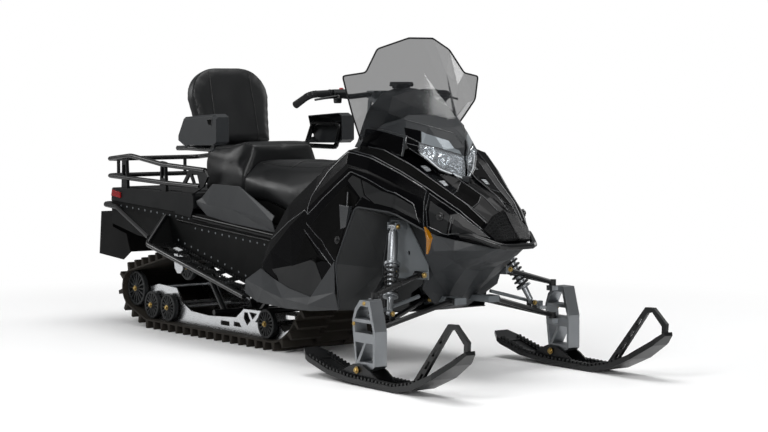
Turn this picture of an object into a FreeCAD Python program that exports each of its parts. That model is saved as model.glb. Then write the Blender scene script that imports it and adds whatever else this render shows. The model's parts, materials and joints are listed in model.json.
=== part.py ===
import FreeCAD, Part
import math
import os

# Snowmobile for two, in millimetres: +X forward, +Y left, +Z up, origin on the floor under the middle
# of the whole outline. Left-hand pieces are modelled and mirrored about the plane y = 0.

V = FreeCAD.Vector
os.makedirs("parts", exist_ok=True)

# Whole machine
half_length = 1732.0
ski_stance = 1041.0
running_gap = 0.3
pin_clearance = 0.05

# Track and the wheels it runs round: centre x, centre z and radius, where the belt's inner face runs
track_width = 508.0
belt_thickness = 8.0
lug_height = 38.0
lug_count = 54
lug_base_length = 24.0
lug_tip_length = 13.0
ground_face = lug_height + belt_thickness
big_wheel_radius = 90.0
small_wheel_radius = 70.5
big_wheel_x = 313.0 - half_length
big_wheel_z = 190.0
rear_wheel_x = big_wheel_x + 157.0
mid_wheel_x = rear_wheel_x + 163.0
front_wheel_x = -189.0
carrier_wheel_x = -905.0
carrier_wheel_z = 336.0
carrier_wheel_radius = 67.0
rail_bow_x = -123.0
rail_bow_radius = 262.0
drive_x = 202.0
drive_z = 400.0
drive_radius = 90.0
wheel_width = 26.0
wheel_inset = 40.0
wheel_plane_y = track_width / 2 - wheel_inset
wheel_gap = 0.3
axle_radius = 11.0
spoke_count = 6
wheel_sides = 16
small_wheel_z = ground_face + small_wheel_radius + wheel_gap

# Tunnel, running boards and what stands on them
tunnel_side_gap = 21.0
tunnel_half_width = track_width / 2 + tunnel_side_gap
tunnel_sheet = 3.0
tunnel_rear_x = 152.0 - half_length
tunnel_front_x = 350.0
tunnel_top_rear_z = 640.0
tunnel_top_front_z = 566.0
board_width = 145.0
board_outer_y = tunnel_half_width + board_width
board_sheet = 4.0
board_tube_radius = 11.0

# Front suspension
kingpin_x = 1042.0
kingpin_y = 480.0
upper_ball_z = 352.0
lower_ball_z = 208.0
ball_housing_radius = 16.0
ball_housing_height = 26.0
arm_tube_radius = 11.0
steering_arm_length = 78.0
tie_rod_z = 268.0
tie_rod_radius = 8.0

# Skis
ski_half_width = 62.0
ski_bolt_x = 1039.0
ski_bolt_z = 63.0
ski_tail_x = 629.0
ski_tip_x = half_length
ski_hoop_top_z = 302.0

# Steering column
column_x = 402.0
column_z = 1040.0
column_tilt_deg = 18.0
handlebar_radius = 11.0
handlebar_half_width = 395.0

# Bodywork
panel_wall = 4.0
tube_sides = 8
small_round = 18.0


def polygon(points):
    corners = [V(*p) for p in points]
    return Part.Face(Part.makePolygon(corners + [corners[0]]))


def plate_y(outline, y0, y1):
    return polygon([(x, y0, z) for x, z in outline]).extrude(V(0, y1 - y0, 0))


def plate_x(outline, x0, x1):
    return polygon([(x0, y, z) for y, z in outline]).extrude(V(x1 - x0, 0, 0))


def plate_z(outline, z0, z1):
    return polygon([(x, y, z0) for x, y in outline]).extrude(V(0, 0, z1 - z0))


def block(x0, x1, y0, y1, z0, z1):
    return Part.makeBox(x1 - x0, y1 - y0, z1 - z0, V(x0, y0, z0))


def rod(start, end, radius):
    return bent_tube([tuple(start), tuple(end)], radius, 0.0)


# Corners of a regular outline that stands in for a circle of the given radius.
def ring(radius, sides):
    if sides is None:
        sides = 8 if radius < small_round else 12
    reach = radius / math.cos(math.pi / sides / 2)
    turns = [2 * math.pi * (k + 0.5) / sides for k in range(sides)]
    return [(reach * math.cos(t), reach * math.sin(t)) for t in turns]


def disc_x(x0, x1, y, z, radius, sides=None):
    return plate_x([(y + a, z + b) for a, b in ring(radius, sides)], x0, x1)


def disc_y(x, y0, y1, z, radius, sides=None):
    return plate_y([(x + a, z + b) for a, b in ring(radius, sides)], y0, y1)


def disc_z(x, y, z0, z1, radius, sides=None):
    return plate_z([(x + a, y + b) for a, b in ring(radius, sides)], z0, z1)


def fuse(shapes):
    joined = shapes[0]
    if len(shapes) > 1:
        joined = shapes[0].multiFuse(shapes[1:])
    return joined.removeSplitter()


def mirrored(shape):
    return shape.mirror(V(0, 0, 0), V(0, 1, 0))


def both(shape):
    return [shape, mirrored(shape)]


# A tube along its corner points, each bend an arc of the given radius, its wall in flat facets that
# meet in mitres, so that every facet is plane.
def bent_tube(points, radius, bend):
    corners = [V(*p) for p in points]
    path = [corners[0]]
    for before, corner, after in zip(corners, corners[1:], corners[2:]):
        back = (before - corner).normalize()
        ahead = (after - corner).normalize()
        half = back.getAngle(ahead) / 2
        turn = math.pi - 2 * half
        if turn < 0.12:
            path.append(corner)
            continue
        inward = (back + ahead).normalize()
        centre = corner + inward * (bend / math.sin(half))
        start = corner + back * (bend / math.tan(half)) - centre
        sweep_axis = ahead.cross(back).normalize()
        steps = max(1, round(turn / 0.55))
        arm = bend / math.cos(turn / steps / 2)
        for k in range(steps):
            angle = turn * (k + 0.5) / steps
            side = sweep_axis.cross(start).normalize()
            spoke = start.normalize() * math.cos(angle) + side * math.sin(angle)
            path.append(centre + spoke * arm)
    path.append(corners[-1])
    runs = [(b - a).normalize() for a, b in zip(path, path[1:])]
    across = runs[0].cross(V(0, 0, 1))
    if across.Length < 0.1:
        across = runs[0].cross(V(0, 1, 0))
    across = across.normalize()
    up = across.cross(runs[0]).normalize()
    reach = radius / math.cos(math.pi / tube_sides / 2)
    turns = [2 * math.pi * (k + 0.5) / tube_sides for k in range(tube_sides)]
    rings = [[path[0] + across * (reach * math.cos(t)) + up * (reach * math.sin(t)) for t in turns]]
    for k, run in enumerate(runs):
        here = path[k + 1]
        plane = (run + runs[k + 1]).normalize() if k + 1 < len(runs) else run
        rings.append([p + run * ((here - p).dot(plane) / run.dot(plane)) for p in rings[-1]])
    faces = [Part.Face(Part.makePolygon(ring + ring[:1])) for ring in (rings[0], rings[-1])]
    for ring, following in zip(rings, rings[1:]):
        for k in range(tube_sides):
            j = (k + 1) % tube_sides
            faces.append(Part.Face(Part.makePolygon([ring[k], ring[j], following[j], following[k], ring[k]])))
    shell = Part.makeShell(faces)
    shell.sewShape()
    solid = Part.makeSolid(shell)
    if solid.Volume < 0:
        solid.reverse()
    return solid


# A true round, for the hitch bore and for the steering post in its bearing.
def shaft(start, end, radius):
    a = V(*start)
    b = V(*end)
    return Part.makeCylinder(radius, (b - a).Length, a, b - a)


# A moulded sheet with flat facets: rows of points across its outer face, and a wall on the side
# that faces the point "inside".
def moulded(rows, wall, inside):
    grid = [[V(*p) for p in row] for row in rows]
    count_v = len(grid)
    count_u = len(grid[0])
    centre = V(*inside)
    normals = [[V(0, 0, 0) for _ in row] for row in grid]
    quads = []
    for v in range(count_v - 1):
        for u in range(count_u - 1):
            ids = [(v, u), (v, u + 1), (v + 1, u + 1), (v + 1, u)]
            a, b, c, d = [grid[i][j] for i, j in ids]
            normal = (c - a).cross(d - b)
            quads.append(ids)
            if normal.Length < 1e-6:
                continue
            normal = normal.normalize()
            if normal.dot((a + b + c + d) * 0.25 - centre) < 0:
                normal = normal * -1
            for i, j in ids:
                normals[i][j] = normals[i][j] + normal
    inner = [[grid[v][u] - normals[v][u].normalize() * wall for u in range(count_u)]
             for v in range(count_v)]
    triangles = []
    for ids in quads:
        split = 0
        if (grid[ids[0][0]][ids[0][1]] - grid[ids[2][0]][ids[2][1]]).Length > \
                (grid[ids[1][0]][ids[1][1]] - grid[ids[3][0]][ids[3][1]]).Length:
            split = 1
        order = ids[split:] + ids[:split]
        for layer in (grid, inner):
            p = [layer[i][j] for i, j in order]
            triangles.append((p[0], p[1], p[2]))
            triangles.append((p[0], p[2], p[3]))
    rim = [(0, u) for u in range(count_u)]
    rim += [(v, count_u - 1) for v in range(1, count_v)]
    rim += [(count_v - 1, u) for u in range(count_u - 2, -1, -1)]
    rim += [(v, 0) for v in range(count_v - 2, 0, -1)]
    for (i, j), (k, m) in zip(rim, rim[1:] + rim[:1]):
        triangles.append((grid[i][j], grid[k][m], inner[k][m]))
        triangles.append((grid[i][j], inner[k][m], inner[i][j]))
    return solid_of(triangles)


def solid_of(triangles):
    faces = []
    for a, b, c in triangles:
        if (b - a).cross(c - a).Length > 1e-3:
            faces.append(Part.Face(Part.makePolygon([a, b, c, a])))
    shell = Part.makeShell(faces)
    shell.sewShape()
    solid = Part.makeSolid(shell)
    if solid.Volume < 0:
        solid.reverse()
    return solid


# A straight-sided solid through closed outlines with equal numbers of points, its sides in flat triangles.
def lofted(outlines):
    rings = [[V(*p) for p in outline] for outline in outlines]
    count = len(rings[0])
    triangles = []
    for ring, following in zip(rings, rings[1:]):
        for k in range(count):
            j = (k + 1) % count
            triangles.append((ring[k], ring[j], following[j]))
            triangles.append((ring[k], following[j], following[k]))
    for ring in (rings[0], rings[-1]):
        triangles += [(ring[0], ring[k], ring[k + 1]) for k in range(1, count - 1)]
    return solid_of(triangles)


def between(line, x):
    for (x0, v0), (x1, v1) in zip(line, line[1:]):
        if x <= x1:
            break
    t = min(max((x - x0) / (x1 - x0), 0.0), 1.0)
    return v0 + (v1 - v0) * t


# A shape trimmed to meet its neighbours face to face, keeping its largest solid.
def trimmed(shape, *neighbours):
    for neighbour in neighbours:
        shape = shape.cut(neighbour)
    return max(shape.Solids, key=lambda solid: solid.Volume)


saved = {}


def save(name, shape):
    if shape.ShapeType == "Compound" and len(shape.Solids) == 1:
        shape = shape.Solids[0]
    shape.exportStep("parts/" + name + ".step")
    saved[name] = shape
    box = shape.BoundBox
    print(name, "solids", len(shape.Solids), "valid", shape.isValid(), "litres", round(shape.Volume / 1e6, 3),
          "box", [round(v) for v in (box.XMin, box.XMax, box.YMin, box.YMax, box.ZMin, box.ZMax)])


def save_pair(name, shape):
    save(name + "_left", shape)
    save(name + "_right", mirrored(shape))


# Track: one closed belt round the wheels, with its lugs

wheels_in_track = [
    (big_wheel_x, big_wheel_z, big_wheel_radius + wheel_gap),
    (rear_wheel_x, small_wheel_z, small_wheel_radius + wheel_gap),
    (rail_bow_x, ground_face + rail_bow_radius, rail_bow_radius),
    (drive_x, drive_z, drive_radius + wheel_gap),
    (carrier_wheel_x, carrier_wheel_z, carrier_wheel_radius + wheel_gap),
]


# The belt's line round the wheels at one offset, as straight runs and arcs.
def belt_line(offset):
    circles = [(x, z, r + offset) for x, z, r in wheels_in_track]
    tangents = []
    for (x0, z0, r0), (x1, z1, r1) in zip(circles, circles[1:] + circles[:1]):
        span = math.hypot(x1 - x0, z1 - z0)
        along = math.atan2(z1 - z0, x1 - x0)
        side = along - math.acos((r0 - r1) / span)
        tangents.append(((x0 + r0 * math.cos(side), z0 + r0 * math.sin(side)),
                         (x1 + r1 * math.cos(side), z1 + r1 * math.sin(side)), side))
    pieces = []
    for k, (x, z, r) in enumerate(circles):
        side_in = tangents[k - 1][2]
        side_out = tangents[k][2]
        sweep = (side_out - side_in) % (2 * math.pi)
        pieces.append(("arc", (x, z, r), side_in, sweep))
        pieces.append(("run", tangents[k][0], tangents[k][1], tangents[k][2]))
    return pieces


def line_length(pieces):
    total = 0.0
    for kind, a, b, c in pieces:
        total += a[2] * c if kind == "arc" else math.dist(a, b)
    return total


# Point on the belt's line and its outward direction, at a distance from the start.
def on_line(pieces, distance):
    for kind, a, b, c in pieces:
        length = a[2] * c if kind == "arc" else math.dist(a, b)
        if distance <= length:
            if kind == "arc":
                angle = b + distance / a[2]
                return (a[0] + a[2] * math.cos(angle), a[1] + a[2] * math.sin(angle)), angle
            t = distance / length
            return (a[0] + (b[0] - a[0]) * t, a[1] + (b[1] - a[1]) * t), c
        distance -= length
    return on_line(pieces, distance)


belt_middle = belt_line(belt_thickness / 2)
loop_length = line_length(belt_middle)
lug_pitch = loop_length / lug_count


def raised(distance, height):
    (x, z), angle = on_line(belt_middle, distance % loop_length)
    return x + height * math.cos(angle), z + height * math.sin(angle)


def track_strip(y0, y1, phase):
    outer = []
    for k in range(lug_count):
        centre = (k + phase) * lug_pitch
        skin = belt_thickness / 2
        tip = skin + lug_height
        outer.append(raised(centre - lug_base_length / 2, skin))
        outer.append(raised(centre - lug_tip_length / 2, tip))
        outer.append(raised(centre + lug_tip_length / 2, tip))
        outer.append(raised(centre + lug_base_length / 2, skin))
        here = on_line(belt_middle, (centre + lug_base_length / 2) % loop_length)[1]
        there = on_line(belt_middle, (centre + lug_pitch - lug_base_length / 2) % loop_length)[1]
        if abs(here - there) > 0.05:
            outer.append(raised(centre + lug_pitch / 2, skin))
    inner = []
    for kind, a, b, c in belt_line(0.0):
        if kind == "arc":
            steps = max(2, round(c / 0.3))
            reach = a[2] / math.cos(c / steps / 2)
            turns = [b + c * (s + 0.5) / steps for s in range(steps)]
            inner += [(a[0] + reach * math.cos(t), a[1] + reach * math.sin(t)) for t in turns]
    ring = polygon([(x, y0, z) for x, z in outer]).cut(polygon([(x, y0, z) for x, z in inner]))
    return ring.extrude(V(0, y1 - y0, 0))


track_half = track_width / 2
track_strip_y = 92.0
track = fuse([
    track_strip(-track_half, -track_strip_y, 0.0),
    track_strip(-track_strip_y, track_strip_y, 0.5),
    track_strip(track_strip_y, track_half, 0.0),
])
print("track loop length", round(loop_length), "pitch", round(lug_pitch, 1))
save("track", track)


# Wheels inside the track, spoked discs with a rubber rim

def spoked_wheel(x, z, radius, y):
    y0 = y - wheel_width / 2
    rim_wall = 9.0
    hub_radius = 20.0
    face = radius * math.cos(math.pi / wheel_sides / 2)
    wheel = disc_y(x, y0, y0 + wheel_width, z, face, wheel_sides)
    inner_edge = hub_radius + 5
    outer_edge = face - rim_wall - 5
    half_slot = math.pi / spoke_count * 0.5
    slots = []
    for k in range(spoke_count):
        turn = 2 * math.pi * k / spoke_count
        corners = [(inner_edge, -half_slot), (outer_edge, -half_slot), (outer_edge, half_slot),
                   (inner_edge, half_slot)]
        outline = [(x + r * math.cos(turn + a), z + r * math.sin(turn + a)) for r, a in corners]
        slots.append(plate_y(outline, y0 - 1, y0 + wheel_width + 1))
    wheel = wheel.cut(Part.makeCompound(slots))
    return wheel.cut(disc_y(x, y0 - 1, y0 + wheel_width + 1, z, axle_radius + pin_clearance)).removeSplitter()


wheel_places = [
    (big_wheel_x, big_wheel_z, big_wheel_radius),
    (rear_wheel_x, small_wheel_z, small_wheel_radius),
    (mid_wheel_x, small_wheel_z, small_wheel_radius),
    (front_wheel_x, small_wheel_z, small_wheel_radius),
    (carrier_wheel_x, carrier_wheel_z, carrier_wheel_radius),
]
wheels = []
for x, z, radius in wheel_places:
    wheels += both(spoked_wheel(x, z, radius, wheel_plane_y))
save("idler_wheels", Part.makeCompound(wheels))

# Slide rails: two aluminium plates on edge, joined by the wheel axles

rail_inset = 30.0
rail_y = wheel_plane_y - rail_inset
rail_thickness = 10.0
rail_foot = ground_face + 0.5
rail_head = 168.0


def bow(angle_deg, radius):
    angle = math.radians(angle_deg)
    return (rail_bow_x + radius * math.sin(angle), ground_face + rail_bow_radius - radius * math.cos(angle))


bow_outer = rail_bow_radius - 0.5
bow_inner = rail_bow_radius - 34.0
rail_outline = [(big_wheel_x - 24, big_wheel_z - 26), (big_wheel_x + 60, big_wheel_z - 70),
                (rear_wheel_x - 60, rail_foot + 24), (rear_wheel_x + 10, rail_foot)]
rail_outline += [(rail_bow_x, rail_foot)] + [bow(a, bow_outer) for a in (14, 28, 42, 54)]
rail_outline += [bow(a, bow_inner) for a in (52, 34, 12)]
rail_outline += [(front_wheel_x + 20, small_wheel_z + 20), (front_wheel_x - 20, small_wheel_z + 20),
                 (front_wheel_x - 60, 108), (front_wheel_x - 90, rail_head), (-430, rail_head - 4),
                 (-500, 118), (-760, 104), (mid_wheel_x + 179, 112), (mid_wheel_x + 89, 150),
                 (mid_wheel_x + 39, 216), (rear_wheel_x + 22, 224), (rear_wheel_x - 68, 200),
                 (big_wheel_x - 24, big_wheel_z + 26)]
rail = plate_y(rail_outline, rail_y, rail_y + rail_thickness)
windows = [
    [(-300, 78), (-240, 78), (-240, 92), (-300, 92)],
    [(-330, 110), (-270, 108), (-290, 148)],
    [(-352, 120), (-312, 152), (-380, 154)],
    [(-430, 120), (-400, 88), (-370, 112), (-395, 150), (-425, 150)],
    [(-520, 74), (-450, 74), (-470, 96), (-520, 96)],
    [(-640, 70), (-560, 70), (-560, 92), (-640, 92)],
]
for outline in windows:
    rail = rail.cut(plate_y(outline, rail_y - 1, rail_y + rail_thickness + 1))
rail_axles = [(big_wheel_x, big_wheel_z), (rear_wheel_x, small_wheel_z), (mid_wheel_x, small_wheel_z),
              (front_wheel_x, small_wheel_z)]
slide_rails = both(rail)
axle_end_y = wheel_plane_y + wheel_width / 2 + 4
cross_shafts = [disc_y(x, -axle_end_y, axle_end_y, z, axle_radius) for x, z in rail_axles]
skid_frame = fuse(slide_rails + cross_shafts)
save("slide_rails", skid_frame)

# Suspension arms inside the track, up to cross shafts held by the tunnel's sides

tunnel_inner_y = tunnel_half_width - tunnel_sheet
arm_inset = 34.0
arm_y = rail_y - arm_inset
rear_arm_foot = (-720.0, 122.0)
rear_arm_top = (carrier_wheel_x, carrier_wheel_z)
front_arm_foot = (-345.0, 158.0)
front_arm_top = (-90.0, 372.0)
arm_shaft_radius = 14.0
hanger_sheet = 4.0


def arm_pair(foot, top, half_width, tube):
    legs = both(rod((foot[0], half_width, foot[1]), (top[0], half_width, top[1]), tube))
    head = disc_y(top[0], -half_width - 24, half_width + 24, top[1], arm_shaft_radius)
    base = disc_y(foot[0], -rail_y, rail_y, foot[1], arm_shaft_radius)
    return fuse(legs + [head, base])


front_arm = arm_pair(front_arm_foot, front_arm_top, arm_y, 15.0)
rear_arm = arm_pair(rear_arm_foot, rear_arm_top, arm_y - 30, 15.0)
rear_arm = rear_arm.cut(disc_y(rear_arm_top[0], -track_width, track_width, rear_arm_top[1],
                               axle_radius + pin_clearance))
save("torque_arms", Part.makeCompound([front_arm, rear_arm]))

# Shock absorber between the front arm's upper shaft and the rear arm's foot
skid_shock_line = (V(rear_arm_foot[0], 0, rear_arm_foot[1]), V(front_arm_top[0], 0, front_arm_top[1]))


def on_skid_shock(share):
    return tuple(skid_shock_line[0] + (skid_shock_line[1] - skid_shock_line[0]) * share)


skid_shock = fuse([
    disc_y(rear_arm_foot[0], -18, 18, rear_arm_foot[1], arm_shaft_radius + 9),
    disc_y(front_arm_top[0], -18, 18, front_arm_top[1], arm_shaft_radius + 9),
    rod(on_skid_shock(0.02), on_skid_shock(0.5), 10.0),
    rod(on_skid_shock(0.42), on_skid_shock(0.97), 26.0),
    rod(on_skid_shock(0.14), on_skid_shock(0.17), 38.0),
    rod(on_skid_shock(0.72), on_skid_shock(0.75), 40.0),
])
for x, z in (rear_arm_foot, front_arm_top):
    skid_shock = skid_shock.cut(disc_y(x, -60, 60, z, arm_shaft_radius + pin_clearance))
save("skid_shock", skid_shock)

# Tunnel: an inverted channel of sheet over the track, open in front and behind

tunnel_foot = [(tunnel_rear_x, 520.0), (tunnel_rear_x + 280.0, 470.0), (-958.0, 452.0), (-57.0, 262.0),
               (120.0, 250.0), (tunnel_front_x, 258.0)]
tunnel_top = [(tunnel_rear_x, tunnel_top_rear_z), (tunnel_front_x, tunnel_top_front_z)]


def tunnel_top_z(x):
    return between(tunnel_top, x)


tunnel_side = tunnel_foot + [(tunnel_front_x, tunnel_top_front_z), (tunnel_rear_x, tunnel_top_rear_z)]
tunnel = plate_y(tunnel_side, -tunnel_half_width, tunnel_half_width)
hollow_side = [(tunnel_rear_x - 1, 0), (tunnel_front_x + 1, 0),
               (tunnel_front_x + 1, tunnel_top_front_z - tunnel_sheet),
               (tunnel_rear_x - 1, tunnel_top_rear_z - tunnel_sheet)]
tunnel = tunnel.cut(plate_y(hollow_side, -tunnel_inner_y, tunnel_inner_y))

# Flanges for the front arm's shaft on the inner faces, and hangers for the rear arm's on the outer ones
flanges = both(disc_y(front_arm_top[0], arm_y + 24 + running_gap, tunnel_inner_y, front_arm_top[1], 24.0))
tunnel = fuse([tunnel] + flanges)
hanger_x, hanger_z = rear_arm_top
hanger_side = [(-50, 112), (44, 112), (36, -12), (16, -30), (-16, -30), (-40, -6)]
hanger = plate_y([(hanger_x + a, hanger_z + b) for a, b in hanger_side],
                 tunnel_inner_y - hanger_sheet, tunnel_inner_y)
hanger = hanger.cut(disc_y(hanger_x, 0, tunnel_half_width + 50, hanger_z + 66, 12.0))
hanger_shaft = disc_y(hanger_x, -tunnel_inner_y, tunnel_inner_y, hanger_z, axle_radius)
save("arm_hangers", fuse(both(hanger) + [hanger_shaft]))

save("tunnel", tunnel)

drive_axle = disc_y(drive_x, -tunnel_inner_y, tunnel_inner_y, drive_z, 16.0)
sprockets = []
for y in (-100.0, 100.0):
    teeth = []
    tooth_count = 8
    body_radius = drive_radius - 14
    sprocket = disc_y(drive_x, y - 14, y + 14, drive_z, body_radius, tooth_count)
    for k in range(tooth_count):
        turn = 2 * math.pi * k / tooth_count
        c, s = math.cos(turn), math.sin(turn)
        shape = [(body_radius - 10, -12), (drive_radius, -6), (drive_radius, 6), (body_radius - 10, 12)]
        outline = [(drive_x + a * c - b * s, drive_z + a * s + b * c) for a, b in shape]
        teeth.append(plate_y(outline, y - 14, y + 14))
    sprockets.append(fuse([sprocket] + teeth))
save("drive_axle", fuse([drive_axle] + sprockets))

# Running boards, sloping down to the front, with a raised end against the tunnel

board_line = [(-958.0, 457.0), (-66.0, 268.0)]
board_inner_y = tunnel_half_width
board_outline = [(x, z) for x, z in board_line] + [(x, z - board_sheet) for x, z in reversed(board_line)]
board = plate_y(board_outline, board_inner_y, board_outer_y)
slot_count = 7
slot_length = 66.0
slot_start = -886.0
slot_pitch = 114.0
for k in range(slot_count):
    x = slot_start + k * slot_pitch
    for lean, y0, y1 in ((20.0, board_inner_y + 16, board_inner_y + 62),
                         (-20.0, board_inner_y + 76, board_outer_y - 24)):
        outline = [(x, y0), (x + slot_length, y0), (x + slot_length + lean, y1), (x + lean, y1)]
        board = board.cut(plate_z(outline, 200, 520))
ramp_top = (-1004.0, 588.0)
ramp_faces = []
for back in (-3.0, board_sheet - 3.0):
    foot_x = -958 - back
    head_x = ramp_top[0] - back
    ramp_faces.append([(foot_x, board_outer_y, 454), (foot_x, board_inner_y, 454),
                       (head_x, board_inner_y, ramp_top[1]), (head_x, board_inner_y + 6, ramp_top[1])])
ramp = lofted(ramp_faces)
edge_z = board_sheet / 2
edge = bent_tube([(-66, board_outer_y, 268 - edge_z), (-958, board_outer_y, 457 - edge_z),
                  (ramp_top[0], board_inner_y + 12, ramp_top[1])], board_tube_radius, 24.0)
running_board = fuse([board, ramp, edge])
save("running_boards", Part.makeCompound(both(running_board)))

# Rear bumper tube from the boards' rear corners round the back of the tunnel, with the tow hitch

bumper_radius = 13.0
bumper_y = tunnel_half_width + bumper_radius + 2.0
bumper_rear_x = tunnel_rear_x - 70.0
bumper_z = 617.0
bumper_side = [(-972, board_outer_y - 20, 486), (tunnel_rear_x + 80, bumper_y, bumper_z - 9),
               (bumper_rear_x, bumper_y, bumper_z)]
bumper_path = bumper_side + [(x, -y, z) for x, y, z in reversed(bumper_side)]
bumper = trimmed(bent_tube(bumper_path, bumper_radius, 50.0), *both(running_board))
hitch_z = 590.0
hitch_pin_radius = 8.0
hitch_plate = 12.0
hitch_x = tunnel_rear_x - 110.0
tongue_outline = [(tunnel_rear_x, -70), (hitch_x, -28), (hitch_x - 24, -12), (hitch_x - 24, 12),
                  (hitch_x, 28), (tunnel_rear_x, 70)]
tongue = plate_z(tongue_outline, hitch_z - hitch_plate / 2, hitch_z + hitch_plate / 2)
stay_side = [(tunnel_rear_x, hitch_z), (bumper_rear_x, hitch_z), (bumper_rear_x, bumper_z),
             (tunnel_rear_x, bumper_z)]
stays = both(plate_y(stay_side, 40, 48))
back_plate = plate_x([(-120, 560), (120, 560), (120, 632), (-120, 632)], tunnel_rear_x - 4, tunnel_rear_x)
bumper = fuse([bumper, tongue, back_plate] + stays)
bumper = bumper.cut(shaft((hitch_x, 0, hitch_z - 20), (hitch_x, 0, hitch_z + 20), hitch_pin_radius))
save("rear_bumper", bumper)

# Snow flap: moulded box, open in front and below

flap_half = 268.0
flap_wall = 5.0
flap_rear_x = -half_length
flap_top_z = 575.0
flap_root_x = tunnel_rear_x - 4.0
flap_mouth_x = flap_root_x + 204.0
flap_lean = 24.0
flap_side = [(flap_rear_x, 352), (flap_mouth_x - 96, 336), (flap_mouth_x - 20, 380), (flap_mouth_x - 60, 470),
             (flap_root_x, 500), (flap_root_x, flap_top_z), (flap_rear_x + flap_lean, flap_top_z)]
flap = plate_y(flap_side, -flap_half, flap_half)
flap = flap.cut(plate_y([(flap_rear_x + flap_wall, 300), (flap_mouth_x, 300), (flap_mouth_x, flap_top_z + 25),
                         (flap_root_x + 24, flap_top_z + 25), (flap_root_x + 24, flap_top_z - flap_wall),
                         (flap_rear_x + flap_lean + flap_wall, flap_top_z - flap_wall)],
                        -flap_half + flap_wall, flap_half - flap_wall))
flap = flap.cut(block(flap_rear_x - 1, bumper_rear_x, -34, 34, hitch_z - 50, hitch_z + 10))
save("snow_flap", flap)

# Bodywork, left halves as rows of points on the outer face

heart = (600.0, 0.0, 560.0)


def half_and_mirror(rows):
    return [[(x, -y, z) for x, y, z in row] for row in reversed(rows[1:])] + rows


panel_top = [(-23, 352, 424), (32, 345, 521), (183, 338, 694), (408, 332, 832), (642, 330, 947),
             (780, 315, 925), (923, 262, 860), (1055, 212, 788)]
panel_crease = [(-12, 356, 408), (70, 362, 460), (235, 365, 560), (440, 362, 690), (655, 345, 840),
                (790, 332, 815), (930, 300, 770), (1070, 245, 715)]
panel_foot = [(0, 360, 392), (120, 376, 356), (269, 386, 323), (443, 392, 300), (610, 380, 465),
              (715, 348, 714), (940, 316, 697), (1086, 248, 624)]
band_share = 0.52
ledge_share = 0.66
field_share = 0.55
band_swell = [0, 3, 7, 9, 9, 8, 6, 0]
field_sink = [0, 4, 10, 13, 13, 10, 6, 0]


# A row between two others, each point pushed sideways by its own amount.
def between_rows(first, second, share, push):
    return [(a[0] + (b[0] - a[0]) * share, a[1] + (b[1] - a[1]) * share + p, a[2] + (b[2] - a[2]) * share)
            for a, b, p in zip(first, second, push)]


panel_band = between_rows(panel_top, panel_crease, band_share, band_swell)
panel_ledge = between_rows(panel_top, panel_crease, ledge_share, [-sink * 0.4 for sink in field_sink])
panel_field = between_rows(panel_crease, panel_foot, field_share, [-sink for sink in field_sink])
panel_rows = [panel_top, panel_band, panel_ledge, panel_field, panel_foot]
side_panel = moulded(panel_rows, panel_wall, heart)
save_pair("side_panel", side_panel)


# Points whose y is counted from the running board's outer edge
def from_board(row):
    return [(x, board_outer_y + y, z) for x, y, z in row]


guard_top = [(-10, 363, 398), (120, 379, 362), (269, 389, 329), (443, 395, 306), (606, 383, 470)]
guard_bulge = from_board([(-62, -5, 345), (100, 6, 315), (260, 4, 285), (445, -5, 272), (630, -23, 340)])
guard_foot = from_board([(-64, -5, 284), (40, -4, 252), (260, -12, 240), (445, -22, 244), (642, -36, 264)])
foot_guard = trimmed(moulded([guard_top, guard_bulge, guard_foot], panel_wall, heart), side_panel)
save("foot_guards", Part.makeCompound(both(foot_guard)))

# Belly pan: floor under the engine, walls of the suspension bays, and the prow in front of the arms
bay_rim = [(640, 378, 266), (610, 376, 462), (716, 343, 709), (940, 311, 692), (1084, 243, 619)]
bay_root = [(738, 204, 256), (722, 204, 440), (778, 204, 672), (935, 204, 668), (1050, 204, 622)]
bay_wall = moulded([bay_rim, bay_root], panel_wall, (870, 300, 450))
bay_side = plate_y([(738, 252), (722, 440), (778, 676), (935, 672), (1052, 626), (1045, 500),
                    (1005, 392), (925, 350), (905, 266), (880, 264)], 203, 207)
floor_rows = [
    [(346, 0, 262), (560, 0, 250), (640, 0, 250), (738, 0, 250), (880, 0, 262), (938, 0, 274)],
    [(346, 200, 262), (560, 200, 250), (640, 203, 250), (738, 207, 251), (880, 207, 263), (905, 207, 267)],
    [(346, 376, 262), (560, 376, 256), (640, 378, 264), (738, 213, 253), (880, 213, 264), (905, 213, 267)],
]
floor = moulded(half_and_mirror(floor_rows), panel_wall, (600, 0, 900))
prow_rows = [
    [(940, 0, 275), (977, 0, 290), (1050, 0, 364), (1134, 0, 451), (1235, 0, 490), (1354, 0, 554)],
    [(945, 80, 278), (1005, 70, 335), (1065, 80, 392), (1140, 80, 462), (1240, 60, 497), (1351, 35, 554)],
    [(1000, 203, 372), (1050, 180, 430), (1085, 170, 452), (1150, 150, 496), (1250, 105, 515),
     (1346, 58, 555)],
    [(1040, 203, 486), (1092, 258, 520), (1130, 240, 540), (1190, 185, 545), (1265, 125, 545),
     (1341, 74, 556)],
    [(1052, 203, 624), (1088, 248, 623), (1127, 226, 606), (1182, 171, 588), (1262, 121, 572),
     (1340, 79, 558)],
]
prow = moulded(half_and_mirror(prow_rows), panel_wall, (1000, 0, 700))
belly_pan = fuse([floor] + both(bay_side) + both(bay_wall))
belly_pan = trimmed(belly_pan, side_panel, mirrored(side_panel), foot_guard, mirrored(foot_guard), tunnel)
save("belly_pan", belly_pan)

nose_side_rows = [
    [(1055.5, 212, 788), (1130, 187, 744), (1206, 163, 701), (1275, 133, 650), (1336, 105, 602)],
    [(1070.5, 245, 715), (1150, 222, 685), (1215, 185, 645), (1280, 145, 615), (1343, 100, 590)],
    [(1086.5, 248, 624), (1127, 226, 607), (1182, 171, 589), (1262, 121, 573), (1340, 79, 559)],
]
nose_side = trimmed(moulded(nose_side_rows, panel_wall, heart), side_panel)
save("nose_sides", Part.makeCompound(both(nose_side)))

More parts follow.
